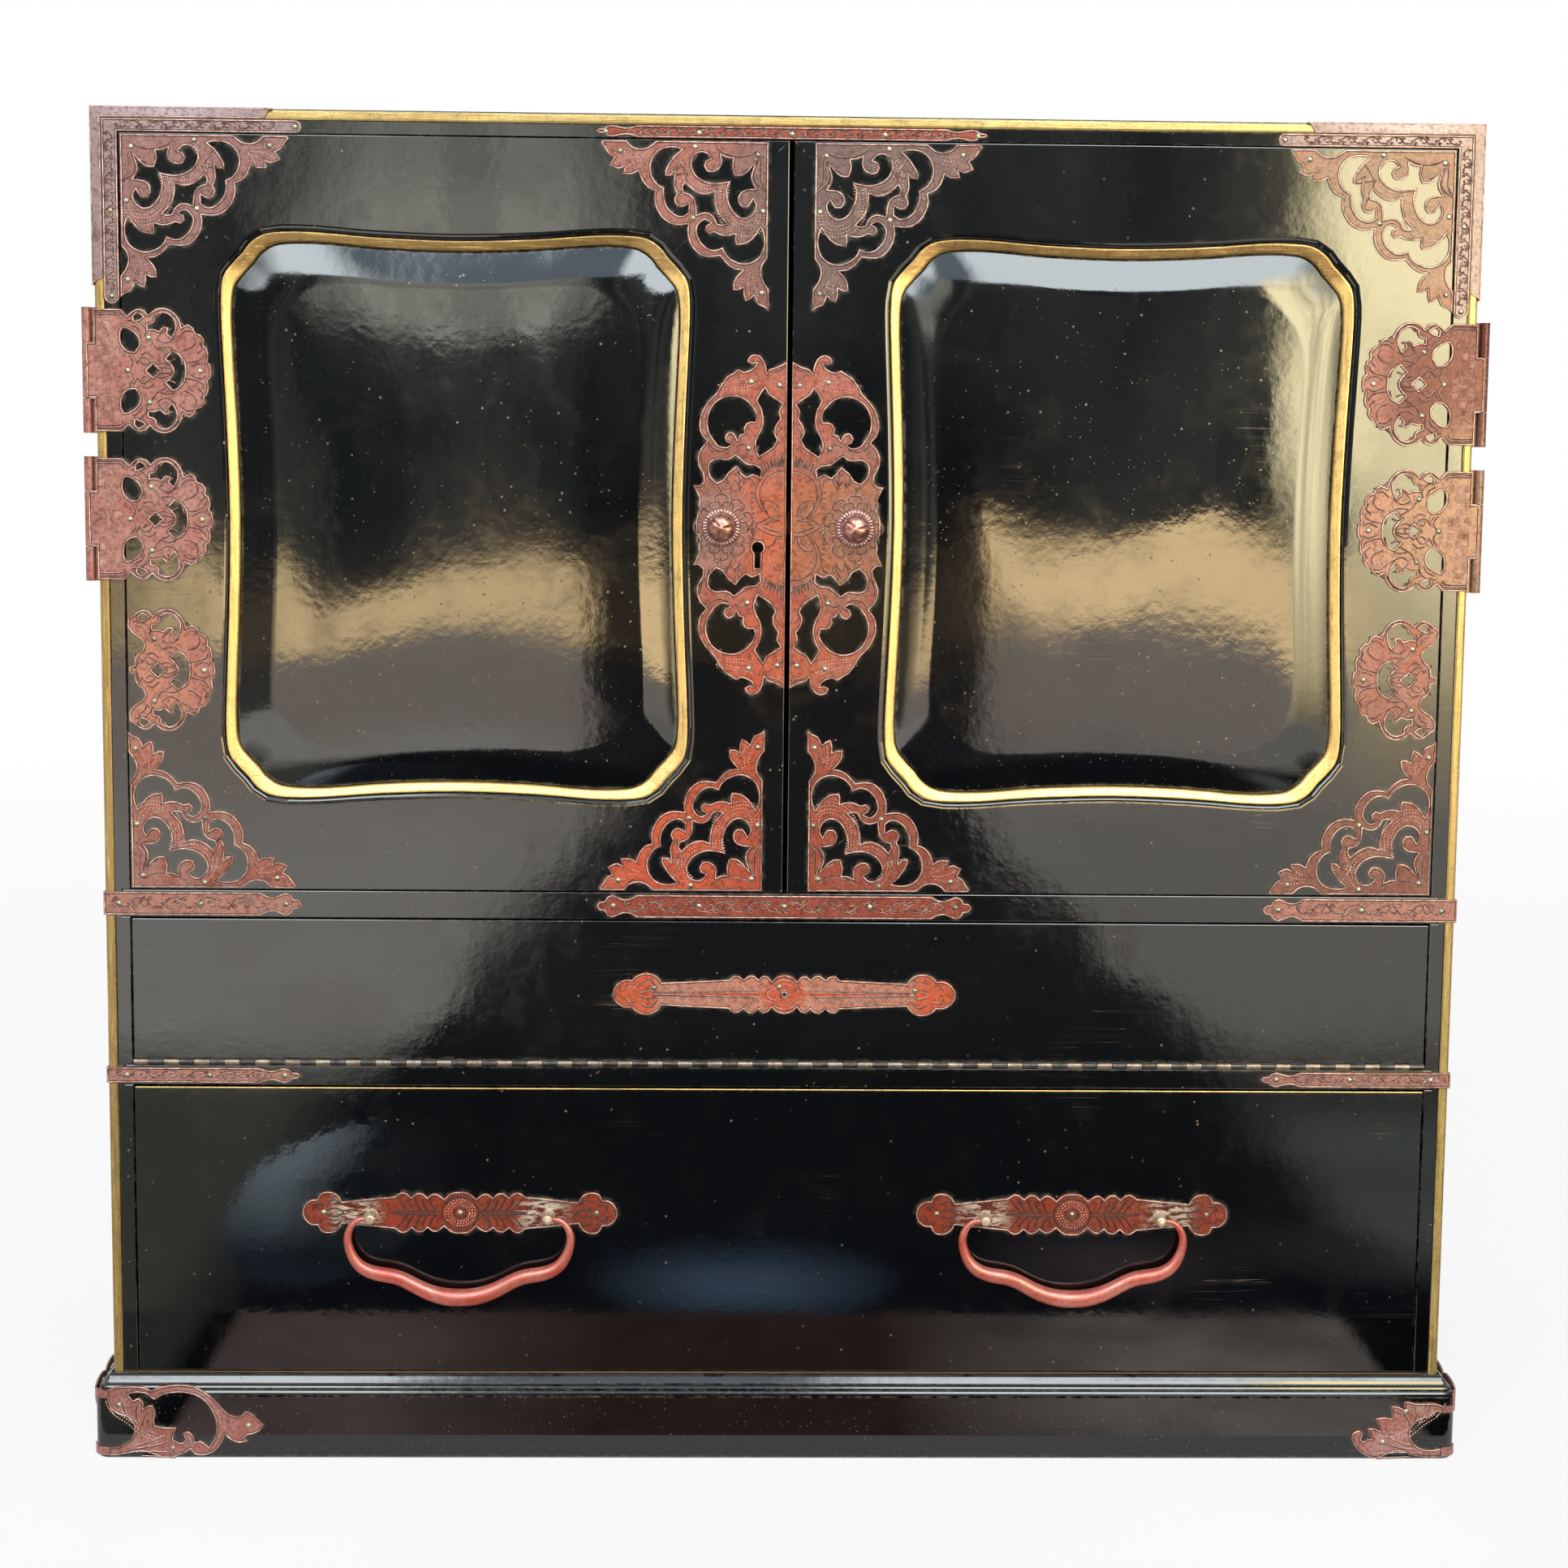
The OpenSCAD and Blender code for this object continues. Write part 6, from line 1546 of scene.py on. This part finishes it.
    def ground(self, f, x, y, folds):
        """Brown strip at the chest's foot, a dark stretch with pale pools, then paving."""
        black = (0.01, 0.015, 0.02, 1)
        brown = f.mix(f.between(x, 0.08, 0.24), (0.3, 0.16, 0.12, 1), (1.7, 1.5, 1.35, 1))
        brown = f.mix(f.between(x, -0.12, -0.28), brown, (0.95, 0.7, 0.65, 1))
        brown = f.mix(f.between(f.noise(6, 3), 0.4, 0.7, 0.0, 0.6), brown, (0.2, 0.13, 0.12, 1))
        brown = f.mix(f.between(x, -0.40, -0.408), brown, black)
        brown = f.mix(f.between(x, -0.42, -0.44), brown, (0.3, 0.33, 0.28, 1))
        brown = f.mix(f.between(x, 0.43, 0.44), brown, black)
        pools = f.mix(f.between(x, -0.40, -0.48), (0.02, 0.03, 0.05, 1), (0.55, 0.58, 0.46, 1))
        across = f.most(f.between(x, -0.375, -0.465), f.between(x, -0.375, -0.285))
        along = f.most(f.between(y, FRONT - 0.60, FRONT - 0.88),
                       f.between(y, FRONT - 0.60, FRONT - 0.32))
        reach = f.plus(f.times(across, across), f.times(along, along))
        arc = f.mix(f.between(y, FRONT - 0.42, FRONT - 0.70), (0.12, 0.2, 0.27, 1),
                    (1.6, 2.0, 2.2, 1))
        pools = f.mix(f.between(reach, 1.0, 0.85), pools, arc)
        for middle, out, inner, outer, colour in (
                (-0.02, 0.36, 0.03, 0.13, (0.6, 1.0, 1.5, 1)),
                (0.60, 0.80, 0.05, 0.30, (0.8, 0.9, 0.8, 1)),
                (0.54, 0.54, 0.05, 0.22, (0.8, 0.85, 0.8, 1)),
                (0.28, 0.42, 0.03, 0.12, (0.7, 0.55, 0.6, 1))):
            pool = f.near((middle, FRONT - out, self.YARD[0][1]), inner, outer)
            pools = f.mix(pool, pools, colour)
        paving = f.mix(f.between(folds, 0.35, 0.65), (2.4, 2.25, 2.0, 1), (3.0, 2.9, 2.7, 1))
        paving = f.mix(f.between(x, 0.2, 0.6), paving, (1.9, 1.8, 1.6, 1))
        ground = f.mix(f.between(y, FRONT - 0.264, FRONT - 0.269), brown, pools)
        return f.mix(f.between(y, FRONT - 1.0, FRONT - 1.35), ground, paving)

    @staticmethod
    def wall(f, x, z, bent, folds):
        """Foot of the wall, a sunlit band and dark planks with pale streaks."""
        wall = f.mix(f.between(folds, 0.42, 0.7), (0.12, 0.15, 0.16, 1), (0.6, 0.62, 0.55, 1))
        pleats = f.noise(17, 4, 0.6, (1.0, 1.0, 0.04))
        streak = f.times(f.between(bent, -0.95, -0.7), f.between(bent, -0.18, -0.34))
        hang = f.times(streak, f.between(z, 0.80, 0.99), f.between(pleats, 0.42, 0.64))
        wall = f.mix(hang, wall, (1.0, 1.05, 0.95, 1))
        streak = f.times(streak, f.between(z, 1.01, 1.025), f.between(z, 1.22, 1.10, 0.6, 1.0),
                         f.between(pleats, 0.34, 0.56, 0.45, 1.0))
        wall = f.mix(streak, wall, (4.8, 4.8, 4.1, 1))
        wall = f.mix(f.between(z, 0.24, 0.14), wall, (2.6, 2.4, 2.1, 1))
        wall = f.mix(f.between(z, 0.30, 0.26), wall, (2.4, 2.1, 1.8, 1))
        drop = f.sum("SUBTRACT", f.between(x, -1.2, -0.2, 0.175, 0.0),
                     f.between(x, -0.90, -1.0, 0.0, 0.13))
        lean = f.sum("ADD", z, drop, clamp=False)
        band = f.times(f.between(z, 0.26, 0.31), f.between(lean, 0.515, 0.485),
                       f.between(x, -1.2, -0.98, 0.45, 1.0))
        sun = f.mix(f.between(x, -0.3, 0.3), (10.0, 7.3, 3.8, 1), (12.5, 9.0, 4.6, 1))
        wall = f.mix(band, wall, sun)
        sides = f.most(f.between(x, -1.25, -1.6), f.between(x, 1.5, 1.9))
        return f.mix(f.times(sides, 0.85), wall, (0.12, 0.14, 0.14, 1))

    @staticmethod
    def sky(f, x):
        """Sky: dim over the middle, bright beside it and duller far out."""
        bright = f.most(f.between(x, -0.58, -0.80), f.between(x, 0.12, 0.36))
        sky = f.mix(bright, (1.6, 2.0, 2.3, 1), (10.5, 11.6, 12.0, 1))
        far = f.most(f.between(x, -1.5, -2.2), f.between(x, 1.6, 2.3))
        return f.mix(far, sky, (3.0, 3.3, 3.4, 1))

    @staticmethod
    def bush():
        """Sunlit bush to the right, that only the lacquer reflects."""
        f = Finish("reflected_bush")
        x, _, z = f.axes()
        rag = f.noise(7, 4, 0.65, (1.0, 1.0, 0.4))
        rag = f.mix(f.between(z, 0.60, 0.82), f.between(rag, 0.3, 0.7, -0.05, 0.0),
                    f.between(rag, 0.3, 0.7, 0.0, 0.05))
        edge = f.between(f.sum("ADD", x, rag, clamp=False), 0.59, 0.63)
        leaves = f.between(f.noise(9, 4, 0.65, (1.0, 1.0, 0.3)), 0.36, 0.6)
        gold = f.mix(leaves, (9.5, 8.3, 4.9, 1), (18.0, 15.6, 9.2, 1))
        gold = f.mix(f.between(z, 0.62, 0.40), gold, (5.0, 4.0, 2.2, 1))
        cover = f.times(edge, f.between(x, 1.7, 1.3), f.between(z, 0.28, 0.42),
                        f.between(z, 1.3, 1.05))
        glow = f.add("Emission", Color=gold, Strength=1.0)
        f.show(cover, f.add("BsdfTransparent"), glow)
        bm = bmesh.new()
        bmesh.ops.create_grid(bm, x_segments=1, y_segments=1, size=1, matrix=(
            Matrix.Translation((1.3, FRONT - 1.2, 0.75)) @ Matrix.Rotation(math.pi / 2, 4, "X")))
        only_reflected("reflected_bush", new_mesh(bm, "reflected_bush", [f.material]))

    @staticmethod
    def world(scene, studio):
        """Plain light from all round, and white for the camera and mirrors."""
        world = bpy.data.worlds.new("studio_light")
        scene.world = world
        t = Tree(world)
        light = t.nodes["Background"]
        light.inputs["Color"].default_value = (0.96, 0.98, 1.0, 1)
        light.inputs["Strength"].default_value = studio.ambient
        t.show(t.seen(), light, t.add("Background", Color=(1, 1, 1, 1)), "World Output")


class CHEST_PT_panel(bpy.types.Panel):
    """Steps and values of the chest, in the sidebar"""

    bl_idname = "CHEST_PT_panel"
    bl_label = "Chest"
    bl_space_type = "VIEW_3D"
    bl_region_type = "UI"
    bl_category = "Chest"

    def draw(self, context):
        for step in STEPS:
            self.layout.operator(step.bl_idname)
        for group in (context.scene.chest_colours, context.scene.chest_sizes,
                      context.scene.chest_studio):
            column = self.layout.column()
            for name in group.__annotations__:
                column.prop(group, name)


STEPS = (
    CHEST_OT_finishes, CHEST_OT_boards, CHEST_OT_door_frames, CHEST_OT_door_panels,
    CHEST_OT_mouldings, CHEST_OT_mounts, CHEST_OT_engraving, CHEST_OT_small_metal,
    CHEST_OT_bails, CHEST_OT_knobs, CHEST_OT_carried_over, CHEST_OT_studio,
)
GROUPS = (ChestColours, ChestSizes, StudioSettings)


def register():
    for item in GROUPS + STEPS + (CHEST_PT_panel,):
        bpy.utils.register_class(item)
    bpy.types.Scene.chest_colours = PointerProperty(type=ChestColours)
    bpy.types.Scene.chest_sizes = PointerProperty(type=ChestSizes)
    bpy.types.Scene.chest_studio = PointerProperty(type=StudioSettings)


def unregister():
    del bpy.types.Scene.chest_studio
    del bpy.types.Scene.chest_sizes
    del bpy.types.Scene.chest_colours
    for item in reversed(GROUPS + STEPS + (CHEST_PT_panel,)):
        bpy.utils.unregister_class(item)


def main():
    register()
    bpy.ops.chest.finishes()
    bpy.ops.chest.boards()
    bpy.ops.chest.door_frames()
    bpy.ops.chest.door_panels()
    bpy.ops.chest.mouldings()
    bpy.ops.chest.mounts()
    bpy.ops.chest.engraving()
    bpy.ops.chest.small_metal()
    bpy.ops.chest.bails()
    bpy.ops.chest.knobs()
    bpy.ops.chest.carried_over()
    bpy.ops.chest.studio()


if __name__ == "__main__":
    main()
